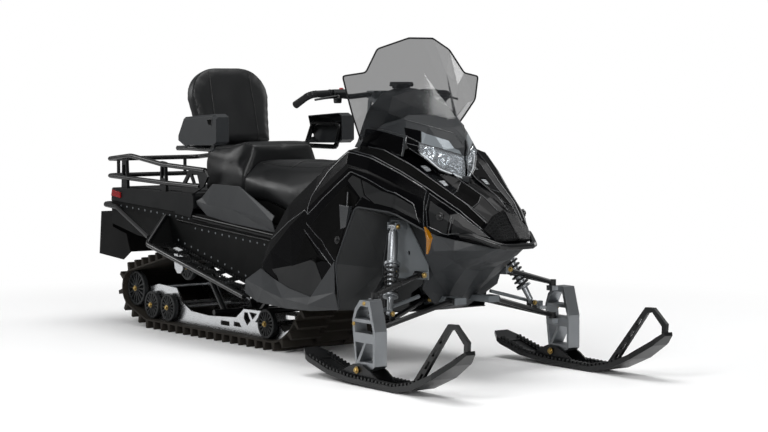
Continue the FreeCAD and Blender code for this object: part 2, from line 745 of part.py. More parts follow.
hood_middle = [(642, 0, 975), (780, 0, 955), (923, 0, 890), (1050, 0, 815), (1206, 0, 757), (1290, 0, 712)]
hood_edge = [(642, 328, 950), (780, 313, 928), (923, 260, 863), (1055, 210, 791), (1206, 161, 705),
             (1302, 121, 632)]
ridge_height = 13.0
hood_profile = [(0.0, 4.0), (0.16, 0.0), (0.22, ridge_height), (0.42, -6.0), (0.68, -4.0),
                (0.78, ridge_height), (1.0, 0.0)]
ridge_fade = [0.2, 0.7, 1.0, 1.0, 0.8, 0.2]
hood_crown = [14, 14, 12, 10, 9, 8]
hood_rows = []
for share, rise in hood_profile:
    row = []
    for m, e, fade, crown in zip(hood_middle, hood_edge, ridge_fade, hood_crown):
        arch = crown * 4 * share * (1 - share)
        row.append((m[0] + (e[0] - m[0]) * share, e[1] * share,
                    m[2] + (e[2] - m[2]) * share + arch + rise * fade))
    hood_rows.append(row)
hood = moulded(half_and_mirror(hood_rows), panel_wall, heart)
vent_places = [(905, 128, 46, 20), (1010, 112, 42, 17), (1105, 96, 38, 15)]
for x, y, length, half in vent_places:
    vent = plate_z([(x, y - half), (x + length, y - half * 0.7), (x + length, y + half * 0.7),
                    (x, y + half)], 600, 1000)
    hood = hood.cut(Part.makeCompound(both(vent)))
hood = trimmed(hood, *both(side_panel), *both(nose_side))
save("hood", hood)

nose_rows = [
    [(1290, 0, 712), (1335, 0, 655), (1388, 0, 598), (1372, 0, 568)],
    [(1292, 60, 690), (1330, 65, 640), (1375, 62, 592), (1362, 58, 566)],
    [(1302, 120, 633), (1325, 110, 613), (1345, 98, 592), (1342, 79, 562)],
]
nose = trimmed(moulded(half_and_mirror(nose_rows), panel_wall, heart), hood, *both(nose_side), prow)
save("nose", nose)

pod_rows = [
    [(560, 0, 1222), (690, 0, 1214), (800, 0, 1180), (949, 0, 1116), (1010, 0, 1060), (1036, 0, 1000)],
    [(560, 90, 1195), (660, 110, 1178), (780, 95, 1140), (900, 55, 1100), (985, 22, 1050), (1036, 6, 990)],
    [(560, 170, 1120), (710, 168, 1109), (800, 140, 1080), (900, 95, 1055), (990, 30, 1026), (1040, 8, 965)],
    [(560, 200, 1050), (690, 192, 1040), (835, 167, 1012), (912, 136, 979), (975, 70, 955), (1034, 8, 930)],
]
pod_heart = (760.0, 0.0, 1020.0)
pod = moulded(half_and_mirror(pod_rows), panel_wall, pod_heart)
cowl_rows = [
    [(560, 200, 1050), (690, 192, 1040), (835, 167, 1012)],
    [(560, 225, 985), (690, 215, 970), (838, 178, 950)],
    [(560, 240, 962), (690, 225, 955), (838, 185, 925)],
]
cowl = moulded(cowl_rows, panel_wall, pod_heart)
pod = fuse([pod] + both(cowl))
pod = trimmed(pod, hood)
save("pod", pod)

lamp_rows = [
    [(836, 167, 1012), (912, 136, 979), (975, 70, 955), (1034, 8, 930)],
    [(846, 178, 985), (925, 150, 945), (990, 85, 915), (1044, 10, 890)],
    [(858, 174, 965), (925, 145, 925), (975, 95, 868), (1046, 8, 822)],
]
headlamp = moulded(lamp_rows, 6.0, pod_heart)
headlamp = trimmed(headlamp, pod, hood)
save("headlamps", Part.makeCompound(both(headlamp)))

glass_rows = [
    [(978, 0, 1083), (835, 0, 1285), (728, 0, 1436)],
    [(960, 25, 1060), (825, 62, 1280), (721, 66, 1436)],
    [(793, 129, 1078), (745, 185, 1230), (669, 196, 1385)],
    [(680, 182, 1045), (715, 262, 1150), (684, 268, 1283)],
    [(605, 240, 992), (665, 345, 1165), (655, 369, 1268)],
]
glass_wall = 3.0
windshield = trimmed(moulded(half_and_mirror(glass_rows), glass_wall, (300.0, 0.0, 1150.0)), pod)
save("windshield", windshield)

# Engine: one plain block at its place between the tunnel and the front castings
engine = trimmed(block(390, 800, -160, 160, 250, 645), belly_pan)
save("engine_block", engine)

# Arms: inner pivots on ears of the castings, outer ball joints on the kingpin line
pivot_length = 52.0
pivot_radius = 15.0
ear_sheet = 6.0
upper_pivots = [(806, 440), (1020, 436)]
lower_pivots = [(905, 318), (1085, 322)]
upper_pivot_y = 232.0
lower_pivot_y = 115.0


def control_arm(ball_z, pivots, pivot_y):
    cup_z = ball_z + ball_housing_height / 2
    legs = []
    for x, z in pivots:
        legs.append(rod((kingpin_x, kingpin_y, cup_z), (x, pivot_y, z), arm_tube_radius))
        legs.append(disc_x(x - pivot_length / 2, x + pivot_length / 2, pivot_y, z, pivot_radius))
    cup = disc_z(kingpin_x, kingpin_y, ball_z, ball_z + ball_housing_height, ball_housing_radius)
    return [cup] + legs


def pivot_ears(pivots, pivot_y, root_y):
    ears = []
    for x, z in pivots:
        for start in (x - pivot_length / 2 - running_gap - ear_sheet, x + pivot_length / 2 + running_gap):
            ears.append(block(start, start + ear_sheet, root_y, pivot_y + 4, z - 14, z + 14))
    return ears


upper_arm = fuse(control_arm(upper_ball_z, upper_pivots, upper_pivot_y))
shock_top = (878.0, 262.0, 632.0)
shock_foot = (1015.0, 384.0, 282.0)
shock_clevis = [block(shock_foot[0] + a, shock_foot[0] + a + ear_sheet,
                      shock_foot[1] - 12, shock_foot[1] + 12, shock_foot[2] - 38, shock_foot[2] + 8)
                for a in (-15 - ear_sheet, 15)]
cradle = block(shock_foot[0] - 30, shock_foot[0] + 30, shock_foot[1] - 14, shock_foot[1] + 14,
               shock_foot[2] - 38, shock_foot[2] - 28)
lower_arm = fuse(control_arm(lower_ball_z, lower_pivots, lower_pivot_y) + shock_clevis + [cradle])
save("upper_arms", Part.makeCompound(both(upper_arm)))
save("lower_arms", Part.makeCompound(both(lower_arm)))

# Front castings that carry the arms, and the shock towers beside them
tower_y = 207.5
tower_sheet = 6.0
casting = lofted([
    [(860, -88, 285), (860, 88, 285), (860, 203, 620), (860, -203, 620)],
    [(985, -74, 330), (985, 74, 330), (1040, 203, 600), (1040, -203, 600)],
])
lower_ears = pivot_ears(lower_pivots, lower_pivot_y, 66)
beam = block(900, 1118, 60, 95, 308, 334)
casting = casting.cut(Part.makeCompound(both(block(878, 932, lower_pivot_y - 18, 220, 270, 345))))
casting = fuse([casting] + lower_ears + [mirrored(ear) for ear in lower_ears] + both(beam))
save("bulkhead", casting)
prow = trimmed(prow, belly_pan, casting)
save("prow", prow)

tower = plate_y([(790, 655), (905, 655), (1053, 478), (1053, 415), (765, 405)], tower_y,
                tower_y + tower_sheet)
tower = tower.cut(disc_y(920, tower_y - 1, tower_y + tower_sheet + 1, 520, 9.0))
shock_ears = [block(shock_top[0] + a, shock_top[0] + a + ear_sheet, tower_y, shock_top[1] + 12,
                    shock_top[2] - 14, shock_top[2] + 18)
              for a in (-24 - ear_sheet, 24)]
tower = fuse([tower] + pivot_ears(upper_pivots, upper_pivot_y, tower_y) + shock_ears)
save("shock_towers", Part.makeCompound(both(tower)))


def along(a, b, t):
    return tuple(p + (q - p) * t for p, q in zip(a, b))


# Shock absorbers with the springs' seats, each on a pin between the tower's ears and one on the lower arm
shock = fuse([
    disc_x(shock_top[0] - 24, shock_top[0] + 24, shock_top[1], shock_top[2], 14.0),
    rod(along(shock_top, shock_foot, 0.02), along(shock_top, shock_foot, 0.1), 10.0),
    rod(along(shock_top, shock_foot, 0.09), along(shock_top, shock_foot, 0.5), 20.0),
    rod(along(shock_top, shock_foot, 0.48), along(shock_top, shock_foot, 0.98), 9.0),
    rod(along(shock_top, shock_foot, 0.42), along(shock_top, shock_foot, 0.46), 34.0),
    rod(along(shock_top, shock_foot, 0.78), along(shock_top, shock_foot, 0.81), 32.0),
    disc_x(shock_foot[0] - 15, shock_foot[0] + 15, shock_foot[1], shock_foot[2], 10.0),
])
save("front_shocks", Part.makeCompound(both(shock)))

# Spindles: cast truss with a flat face in front, lugs on the kingpin line and a steering arm behind
spindle_inner_y = 489.0
spindle_outer_y = 551.0
spindle_side = [(1010, 42), (1128, 74), (1140, 84), (1140, 226), (1104, 350), (1036, 350),
                (1000, 312), (982, 264), (986, 222)]
spindle = plate_y(spindle_side, spindle_inner_y, spindle_outer_y)
spindle_windows = [[(1040, 326), (1016, 304), (1000, 272), (1110, 272), (1094, 326)],
                   [(996, 258), (1002, 216), (1127, 216), (1127, 228), (1117, 258)],
                   [(1002, 176), (1014, 96), (1066, 176)],
                   [(1032, 96), (1127, 98), (1127, 176), (1080, 176)]]
for outline in spindle_windows:
    spindle = spindle.cut(plate_y(outline, spindle_inner_y - 1, spindle_outer_y + 1))
tie_rod_x = kingpin_x - steering_arm_length
steering_arm = plate_z([(996, spindle_inner_y + 8), (996, spindle_inner_y + 26), (tie_rod_x - 12, 482),
                        (tie_rod_x - 12, 466), (tie_rod_x + 8, 466)], tie_rod_z - 26, tie_rod_z - 12)
lug_outline = [(kingpin_x - 20, 462), (kingpin_x + 20, 462), (kingpin_x + 26, 492), (kingpin_x - 26, 492)]
upper_lug = plate_z(lug_outline, upper_ball_z - 22, upper_ball_z - running_gap)
lower_lug = plate_z(lug_outline, lower_ball_z - 22, lower_ball_z - running_gap)
pocket = disc_z(kingpin_x, kingpin_y, lower_ball_z - running_gap, lower_ball_z + ball_housing_height + 3,
                ball_housing_radius + 3)
spindle = fuse([spindle, steering_arm, upper_lug, lower_lug]).cut(pocket)
spindle = spindle.cut(disc_y(ski_bolt_x, 400, 700, ski_bolt_z, 8.0 + pin_clearance))
save_pair("spindle", spindle)

# Tie rods, from the castings to the steering arms
rod_end = disc_z(tie_rod_x, 474, tie_rod_z - 12 + running_gap, tie_rod_z + 10, 13.0)
tie_rod = fuse([rod((tie_rod_x, 193, tie_rod_z + 70), (tie_rod_x, 470, tie_rod_z), tie_rod_radius), rod_end])
save_pair("tie_rod", tie_rod)

# Skis
ski_mid_y = ski_stance / 2
ski_length = ski_tip_x - ski_tail_x


# Points along the ski from pairs of a share of its length and a height.
def along_ski(pairs):
    return [(ski_tail_x + ski_length * share, height) for share, height in pairs]


keel = along_ski([(0.0, 100), (0.064, 62), (0.191, 26), (0.336, 9), (0.614, 0), (0.717, 22),
                  (0.844, 80), (0.953, 148), (1.0, 192)])
deck = along_ski([(0.995, 206), (0.944, 168), (0.835, 100), (0.708, 44), (0.608, 24), (0.336, 30), (0.2, 46),
                  (0.075, 82), (0.005, 114)])
ski_body = plate_y(keel + deck, ski_mid_y - ski_half_width, ski_mid_y + ski_half_width)
ski_plan = along_ski([(0.0, 34), (0.046, ski_half_width), (0.844, ski_half_width), (0.962, 40), (1.0, 22)])
outline = [(x, ski_mid_y + y) for x, y in ski_plan] + [(x, ski_mid_y - y) for x, y in reversed(ski_plan)]
ski_body = ski_body.common(plate_z(outline, -5, 300))
channel_half = 34.0
channel_side = along_ski([(0.09, 300), (0.09, 72), (0.2, 38), (0.336, 22), (0.608, 16), (0.708, 36),
                          (0.8, 76), (0.8, 300)])
ski_body = ski_body.cut(plate_y(channel_side, ski_mid_y - channel_half, ski_mid_y + channel_half))
hoop_half = 8.0
hoop_side = [(ski_tip_x - 392, 18), (ski_tip_x - 342, 18), (ski_tip_x - 122, 276), (ski_tip_x - 92, 282),
             (ski_tip_x - 34, 228), (ski_tip_x - 36, 172), (ski_tip_x - 12, 186), (ski_tip_x - 8, 240),
             (ski_tip_x - 84, ski_hoop_top_z), (ski_tip_x - 134, ski_hoop_top_z - 2)]
hoop = plate_y(hoop_side, ski_mid_y - hoop_half, ski_mid_y + hoop_half)
for x, z in ((-330, 62), (-285, 116), (-238, 170), (-190, 226)):
    slot = [(x - 2, z - 6), (x + 12, z - 8), (x + 38, z + 24), (x + 24, z + 26)]
    hoop = hoop.cut(plate_y([(ski_tip_x + a, b) for a, b in slot], ski_mid_y - 20, ski_mid_y + 20))
saddle_walls = [plate_y([(880, 24), (1190, 24), (1130, 62), (1070, 86), (1008, 86), (950, 62)], y, y + 8)
                for y in (ski_mid_y - 44, ski_mid_y + 36)]
bolt = disc_y(ski_bolt_x, ski_mid_y - 52, ski_mid_y + 52, ski_bolt_z, 8.0)
ski = fuse([ski_body, hoop, bolt] + saddle_walls)
ski = ski.cut(plate_y([(960, 31), (1200, 31), (1200, 140), (960, 140)], ski_mid_y - 35, ski_mid_y + 35))
ski = fuse([ski, disc_y(ski_bolt_x, ski_mid_y - 52, ski_mid_y + 52, ski_bolt_z, 8.0)])
save_pair("ski", ski)

# Front bumper tube round the nose
front_side = [(1215, 166, 610), (1275, 150, 607), (1392, 84, 566)]
front_path = front_side + [(x, -y, z) for x, y, z in reversed(front_side)]
front_bumper = trimmed(bent_tube(front_path, 12.0, 40.0), *both(nose_side), nose, prow)
save("front_bumper", front_bumper)

# Steering: post, riser, bar with grips and controls, all turning on the column's axis
tilt = math.radians(column_tilt_deg)


def on_column(t):
    return (column_x - t * math.sin(tilt), 0.0, column_z + t * math.cos(tilt))


post_radius = 16.0
post = shaft(on_column(-140), on_column(20), post_radius)
bar_z = 1188.0
riser_side = [(362, 1046), (408, 1036), (470, 1172), (468, 1204), (398, 1204), (372, 1160)]
riser_windows = [[(378, 1062), (404, 1054), (420, 1092), (384, 1110)],
                 [(386, 1124), (426, 1106), (442, 1142), (392, 1158)]]
riser_y = 26.0
riser_sheet = 9.0
riser_plate = plate_y(riser_side, riser_y, riser_y + riser_sheet)
for outline in riser_windows:
    riser_plate = riser_plate.cut(plate_y(outline, riser_y - 1, riser_y + riser_sheet + 1))
riser_foot = block(364, 406, -riser_y, riser_y, 1040, 1056)
riser_clamp = block(402, 456, -62, 62, bar_z - 17, bar_z + 17)
bar_side = [(338, handlebar_half_width, 1146), (425, handlebar_half_width - 14, 1190), (440, 300, 1192),
            (446, 190, 1178), (428, 70, bar_z)]
bar_path = [(x, -y, z) for x, y, z in bar_side] + bar_side[::-1]
bar = bent_tube(bar_path, handlebar_radius, 24.0)
riser = fuse(both(riser_plate) + [riser_foot, riser_clamp]).cut(fuse([post, bar]))
save("riser", riser)
save("handlebar", fuse([post, bar]))

# Frame that holds the steering post: a bearing on two tubes from the tunnel and two from the shock towers
bearing = rod(on_column(-148), on_column(-92), post_radius + 12)
hub = on_column(-119)
stands = both(rod((332, 240, 560), hub, 11.0)) + both(rod((846, 199, 636), hub, 11.0))
steering_frame = fuse([bearing] + stands)
steering_frame = steering_frame.cut(shaft(on_column(-200), on_column(100), post_radius + running_gap))
steering_frame = trimmed(steering_frame, tunnel, belly_pan)
save("steering_frame", steering_frame)

# Cargo deck over the tunnel, moulded, with a skirt down each side and boxy front corners
deck_overhang = 13.0
deck_half = tunnel_half_width + deck_overhang
deck_rear_x = tunnel_rear_x + 20.0
deck_front_x = -735.0
deck_wall = 5.0
deck_top_z = 706.0
deck_side = [(deck_rear_x, 640), (deck_rear_x + 8, deck_top_z - 6), (deck_rear_x + 18, deck_top_z),
             (deck_front_x - 16, deck_top_z), (deck_front_x, 692), (deck_front_x, 640), (-762, 588),
             (-897, 600), (-914, 612)]
deck_outer = plate_y(deck_side, -deck_half, deck_half)
deck_under = [(deck_rear_x + deck_wall, 0), (deck_rear_x + deck_wall + 6, deck_top_z - deck_wall - 4),
              (deck_rear_x + 22, deck_top_z - deck_wall), (deck_front_x - 20, deck_top_z - deck_wall),
              (deck_front_x - deck_wall, 686), (deck_front_x - deck_wall, 0)]
deck = deck_outer.cut(plate_y(deck_under, -deck_half + deck_wall, deck_half - deck_wall))
deck = deck.cut(block(deck_rear_x - 1, deck_rear_x + 15, -30, 30, 600, 660))
pad_rear_x = deck_rear_x + 25.0
pad_front_x = -905.0
pad_half = deck_half - 52.0
pad_height = 4.0
deck = fuse([deck, block(pad_rear_x, pad_front_x, -pad_half, pad_half, deck_top_z, deck_top_z + pad_height)])
save("cargo_deck", deck)

lamp_x = deck_rear_x + 14.0
lamp_side = [(lamp_x, 664), (lamp_x + 10, 696), (lamp_x + 90, 684), (lamp_x + 90, 656)]
lamp_pair = both(plate_y(lamp_side, deck_half + running_gap, deck_half + 9))
save("tail_lamps", Part.makeCompound(lamp_pair))

# Cargo rack: two tube levels round the back and both sides, on posts, with side plates to the seat
rack_y = deck_half - 18.0
rack_radius = 11.0
rack_rear_x = tunnel_rear_x - 60.0
rack_side_top = [(-650, rack_y, 822), (-1060, rack_y, 838), (rack_rear_x + 260, rack_y, 874),
                 (rack_rear_x + 30, rack_y, 852), (rack_rear_x, rack_y - 40, 850)]
rack_side_low = [(-700, rack_y, 742), (-1050, rack_y, 748), (rack_rear_x + 30, rack_y, 764),
                 (rack_rear_x, rack_y - 40, 764)]
rack_tubes = [bent_tube(side + [(x, -y, z) for x, y, z in reversed(side)], rack_radius, 26.0)
              for side in (rack_side_top, rack_side_low)]
posts = []
for x in (rack_rear_x + 200, -1046):
    post_side = [(x - 30, deck_top_z), (x + 30, deck_top_z), (x + 22, 850), (x - 22, 855)]
    post_window = [(x - 16, 770), (x + 16, 770), (x + 12, 826), (x - 12, 826)]
    rack_post = plate_y(post_side, rack_y - 8, rack_y + 8)
    posts += both(rack_post.cut(plate_y(post_window, rack_y - 9, rack_y + 9)))
rear_links = [rod((rack_rear_x, y, 764), (rack_rear_x, y, 850), 9.0) for y in (-200.0, 200.0)]
side_plate = plate_y([(-860, deck_top_z), (-870, 742), (-790, 826), (-650, 824), (-620, 790), (-660, 742),
                      (-751, deck_top_z)], rack_y - 5, rack_y + 5)
for outline in ([(-830, 752), (-790, 796), (-760, 752)],
                [(-772, 802), (-720, 802), (-700, 756), (-744, 756)]):
    side_plate = side_plate.cut(plate_y(outline, rack_y - 6, rack_y + 6))
save("cargo_rack", fuse(rack_tubes + posts + rear_links + both(side_plate)))

# Side covers under the seat, each y counted from the tunnel's side
cover_shape = [
    [(-714, 4, 655), (-621, 4, 604), (-393, 4, 578), (-20, 4, 556)],
    [(-700, 16, 672), (-600, 18, 660), (-380, 20, 650), (-6, 30, 610)],
    [(-660, 9, 690), (-560, 9, 760), (-320, 9, 758), (0, 21, 634)],
]
cover_rows = [[(x, tunnel_half_width + y, z) for x, y, z in row] for row in cover_shape]
side_cover = moulded(cover_rows, panel_wall, (-350, 0, 650))
save("side_covers", Part.makeCompound(both(side_cover)))

# Base under the seats, standing on the tunnel
base_half = 205.0
base_top = [(-730, 716), (-373, 716), (-373, 700), (-200, 690), (30, 640), (330, 650)]
base = plate_y([(-730, tunnel_top_z(-730)), (330, tunnel_top_z(330))] + base_top[::-1], -base_half, base_half)
save("seat_base", base)

# Seats and backrest: plain closed shapes under the cloth
driver_rows = [
    [(-372, -232, 792), (-372, -150, 872), (-372, 150, 872), (-372, 232, 792), (-372, 232, 700),
     (-372, -232, 700)],
    [(-200, -228, 756), (-200, -150, 876), (-200, 150, 876), (-200, 228, 756), (-200, 228, 690),
     (-200, -228, 690)],
    [(30, -222, 740), (30, -138, 872), (30, 138, 872), (30, 222, 740), (30, 222, 640), (30, -222, 640)],
    [(330, -180, 760), (330, -110, 884), (330, 110, 884), (330, 180, 760), (330, 180, 650), (330, -180, 650)],
]
driver_seat = lofted(driver_rows)
save("driver_seat", driver_seat)

# Console between the seat and the pod, with a hole for the steering post
console_rows = [
    [(326, 0, 882), (400, 0, 952), (500, 0, 984), (642, 0, 979)],
    [(326, 110, 880), (400, 112, 944), (500, 118, 976), (642, 164, 970)],
    [(326, 180, 800), (400, 200, 872), (500, 220, 925), (642, 250, 962)],
    [(326, 333, 785), (408, 331, 834), (520, 330, 888), (642, 329, 951)],
]
console = moulded(half_and_mirror(console_rows), panel_wall, (500.0, 0.0, 600.0))
console = console.cut(rod(on_column(-200), on_column(100), post_radius + 7.5))
console = trimmed(console, driver_seat, base, pod, hood, *both(side_panel))
save("console", console)

passenger_rows = [
    [(-770, -200, 860), (-770, -180, 930), (-770, 180, 930), (-770, 200, 860), (-770, 200, 716),
     (-770, -200, 716)],
    [(-560, -226, 820), (-560, -190, 940), (-560, 190, 940), (-560, 226, 820), (-560, 226, 716),
     (-560, -226, 716)],
    [(-440, -226, 800), (-440, -180, 962), (-440, 180, 962), (-440, 226, 800), (-440, 226, 716),
     (-440, -226, 716)],
    [(-374, -226, 800), (-374, -165, 950), (-374, 165, 950), (-374, 226, 800), (-374, 226, 716),
     (-374, -226, 716)],
]
save("passenger_seat", lofted(passenger_rows))

back_half = 223.0
back_foot = (-775.0, 948.0)
back_head = (-880.0, 1322.0)
back_depth = 74.0
lean = math.atan2(back_foot[0] - back_head[0], back_head[1] - back_foot[1])
back_height = math.hypot(back_head[0] - back_foot[0], back_head[1] - back_foot[1])
corner = 150.0
face_points = [(-back_half * 0.86, 0), (back_half * 0.86, 0), (back_half, back_height - corner)]
for k in range(1, 8):
    a = math.pi / 2 * k / 7
    face_points.append((back_half - corner + corner * math.cos(a),
                        back_height - corner + corner * math.sin(a)))
face_points += [(-y, h) for y, h in reversed(face_points[3:])] + [(-back_half, back_height - corner)]
backrest = plate_x([(y, h) for y, h in face_points], -back_depth, 0)
backrest.rotate(V(0, 0, 0), V(0, 1, 0), -math.degrees(lean))
backrest.translate(V(back_foot[0], 0, back_foot[1]))
save("backrest", backrest)

# Frame behind the backrest, with the passenger's handles and their guards
frame_x = -862.0
upright = [bent_tube([(frame_x, y, deck_top_z), (frame_x, y, 905), (-931.5, y, 1187)], 12.0,
                     60.0) for y in (-110.0, 110.0)]
cross = rod((frame_x, -300, 925), (frame_x, 300, 925), 12.0)
backrest_frame = trimmed(fuse(upright + [cross]), backrest)
save("backrest_frame", backrest_frame)
handle = bent_tube([(frame_x, 296, 925), (-700, 340, 930), (-440, 352, 928), (-400, 352, 1040),
                    (-640, 352, 1045), (-690, 346, 931)], 11.0, 22.0)
guard_wall = 5.0


# The guard's outer form, smaller by an inset on its outer, upper, lower and front sides.
def guard_form(inset, open_y):
    rows = [(-692, 376, 968, 1000), (-640, open_y, 945, 1080), (-376, open_y, 950, 1096),
            (-345, open_y, 966, 1082)]
    rings = []
    for x, inner, low, high in rows:
        front = x - inset if x == rows[-1][0] else x
        outer = 393.0 - inset
        rings.append([(front, inner, low + inset), (front, outer, low + inset),
                      (front, outer, high - inset - 10),
                      (front, outer - 12, high - inset), (front, inner, high - inset)])
    return lofted(rings)


guard = guard_form(0.0, 322.0).cut(guard_form(guard_wall, 318.0))
guard_stay = rod((-420, 352, 985), (-420, 390, 985), 8.0)
handle = trimmed(fuse([handle, guard, guard_stay]), backrest_frame)
save_pair("passenger_handle", handle)
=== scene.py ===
import json
import math
import bmesh
import bpy
import numpy as np
from mathutils import Euler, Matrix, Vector
from mathutils.bvhtree import BVHTree


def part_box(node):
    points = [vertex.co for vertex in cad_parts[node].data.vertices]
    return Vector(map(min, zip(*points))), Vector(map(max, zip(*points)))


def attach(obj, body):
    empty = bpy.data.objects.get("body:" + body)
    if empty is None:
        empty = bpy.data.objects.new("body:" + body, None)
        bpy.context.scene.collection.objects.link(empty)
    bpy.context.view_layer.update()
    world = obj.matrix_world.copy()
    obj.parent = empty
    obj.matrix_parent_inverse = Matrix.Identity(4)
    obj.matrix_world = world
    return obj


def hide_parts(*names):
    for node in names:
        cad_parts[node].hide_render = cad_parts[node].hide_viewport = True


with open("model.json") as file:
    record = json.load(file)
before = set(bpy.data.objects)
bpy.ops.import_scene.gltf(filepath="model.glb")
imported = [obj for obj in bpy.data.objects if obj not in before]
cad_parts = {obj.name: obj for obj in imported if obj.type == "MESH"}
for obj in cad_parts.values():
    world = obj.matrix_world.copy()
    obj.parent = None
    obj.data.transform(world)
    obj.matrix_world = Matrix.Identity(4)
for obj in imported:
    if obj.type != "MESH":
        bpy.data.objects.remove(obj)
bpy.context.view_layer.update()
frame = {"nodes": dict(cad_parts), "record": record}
print("stage: frame loaded")

mm = 0.001

# The photograph's view: place in metres, angles in degrees, lens and sensor in millimetres
view = {
    "place": (7.9894, -5.4610, 1.2256),
    "heading": 144.10, "pitch": -3.567, "roll": -0.109,
    "lens": 97.79, "sensor": 36.0, "farClip": 200.0,
}

# Studio: powers in watts, sizes and places in metres, aimed at the machine's middle
studio = {
    "target": (0.0, 0.0, 0.7),
    "sky": "#f4f5f6", "skyStrength": 0.24,
    "paper": "#fdfdfd", "floorHalf": 40.0, "floorDrop": 0.0005, "floorFade": (1.9, 3.9),
    "lamps": [
        ("keySoftbox", (3.0, -5.5, 4.5), 2.4, 205.0),
        ("topSoftbox", (0.2, 0.3, 5.5), 4.0, 185.0),
        ("frontStrip", (6.5, -1.5, 1.2), 1.6, 95.0),
        ("rearRim", (-5.5, -3.5, 3.0), 2.0, 90.0),
        ("leftRim", (0.5, 6.0, 3.5), 2.6, 90.0),
    ],
}

# Shared by all finishes: a grain's depth as a share of its width, and the noise's limits
finish = {"edgeSamples": 4, "grainDepth": 0.3, "patchLimits": (0.3, 0.7)}


# sRGB hex to linear colour: c / 12.92 below 0.04045, else ((c + 0.055) / 1.055) to the 2.4
def linear(hexCode, alpha=1.0):
    channels = [int(hexCode[i:i + 2], 16) / 255 for i in (1, 3, 5)]
    values = [c / 12.92 if c <= 0.04045 else ((c + 0.055) / 1.055) ** 2.4 for c in channels]
    return (*values, alpha)


# Adds a node with its settings, its fixed inputs and its links from other nodes' outputs
def addNode(tree, kind, settings=None, inputs=None, links=None):
    node = tree.nodes.new("ShaderNode" + kind)
    for key, value in (settings or {}).items():
        setattr(node, key, value)
    for key, value in (inputs or {}).items():
        node.inputs[key].default_value = value
    for key, source in (links or {}).items():
        tree.links.new(source, node.inputs[key])
    return node


def emptyTree(owner):
    owner.use_nodes = True
    owner.node_tree.nodes.clear()
    return owner.node_tree


def emptyMaterial(name, values):
    material = bpy.data.materials.new(name)
    tree = emptyTree(material)
    output = addNode(tree, "OutputMaterial")
    shader = addNode(tree, "BsdfPrincipled", {}, values)
    tree.links.new(shader.outputs["BSDF"], output.inputs["Surface"])
    place = addNode(tree, "TexCoord").outputs["Object"]
    return material, tree, shader, place


# Noise whose lumps have one real size
def addNoise(tree, place, sizeMm, detail=2.0, roughness=0.5):
    inputs = {"Scale": 1 / (sizeMm * mm), "Detail": detail, "Roughness": roughness}
    return addNode(tree, "TexNoise", {}, inputs, {"Vector": place}).outputs["Fac"]


# Roughness that runs from low to high while a factor runs between its limits
def addRoughness(tree, shader, factor, low, high, limits=(0.0, 1.0)):
    inputs = {"From Min": limits[0], "From Max": limits[1], "To Min": low, "To Max": high}
    spread = addNode(tree, "MapRange", {}, inputs, {"Value": factor})
    tree.links.new(spread.outputs["Result"], shader.inputs["Roughness"])


def addColours(tree, shader, first, second, factor):
    colours = {"A": linear(first), "B": linear(second)}
    mix = addNode(tree, "Mix", {"data_type": "RGBA"}, colours, {"Factor": factor})
    tree.links.new(mix.outputs["Result"], shader.inputs["Base Color"])


# Bump from a height, over edges that look rounded by edgeMm
def addRelief(tree, shader, height, strength, distance, edgeMm=None):
    links = {"Height": height}
    if edgeMm:
        soft = addNode(tree, "Bevel", {"samples": finish["edgeSamples"]}, {"Radius": edgeMm * mm})
        links["Normal"] = soft.outputs["Normal"]
    relief = addNode(tree, "Bump", {}, {"Strength": strength, "Distance": distance}, links)
    tree.links.new(relief.outputs["Normal"], shader.inputs["Normal"])


# A fine grain: noise of one real size as bump, and broad patches that spread colour and roughness
def grained(name, colour, darker, roughness, grainMm, bump, metallic=0.0, coat=0.0, spread=0.05,
            patchMm=120.0, specular=0.35, edgeMm=1.6):
    material, tree, shader, place = emptyMaterial(name, {"Metallic": metallic, "Specular IOR Level": specular,
                                                         "Coat Weight": coat, "Coat Roughness": 0.05})
    grain = addNoise(tree, place, grainMm, 3.0, 0.6)
    patches = addNoise(tree, place, patchMm)
    addColours(tree, shader, colour, darker, patches)
    addRoughness(tree, shader, patches, roughness - spread, roughness + spread, finish["patchLimits"])
    addRelief(tree, shader, grain, bump, grainMm * mm * finish["grainDepth"], edgeMm)
    return material


# Brushed metal: noise stretched along one axis draws the brush lines
def brushed(name, colour, roughness, lineMm, stretch, spread=0.1, bump=0.15, depthMm=0.2, edgeMm=1.2):
    material, tree, shader, place = emptyMaterial(name, {"Base Color": linear(colour), "Metallic": 1.0})
    mapping = addNode(tree, "Mapping", {}, {"Scale": stretch}, {"Vector": place})
    lines = addNoise(tree, mapping.outputs["Vector"], lineMm)
    addRoughness(tree, shader, lines, roughness - spread, roughness + spread)
    addRelief(tree, shader, lines, bump, depthMm * mm, edgeMm)
    return material


# Clear or smoked sheet: mostly see-through, with a faint tint and a polished face
def clear(name, colour, alpha, roughness, hazeMm=200.0, ior=1.49):
    values = {"Base Color": linear(colour), "Alpha": alpha, "IOR": ior}
    material, tree, shader, place = emptyMaterial(name, values)
    addRoughness(tree, shader, addNoise(tree, place, hazeMm), roughness * 0.7, roughness * 1.3)
    return material


# Pressed reflector: bright vacuum-plated plastic with small mirror facets from Voronoi cells
def faceted(name, colour, cellMm):
    values = {"Base Color": linear(colour), "Metallic": 1.0, "Roughness": 0.14}
    material, tree, shader, place = emptyMaterial(name, values)
    cells = addNode(tree, "TexVoronoi", {}, {"Scale": 1 / (cellMm * mm)}, {"Vector": place})
    addRelief(tree, shader, cells.outputs["Distance"], 0.9, cellMm * mm * 0.5)
    return material


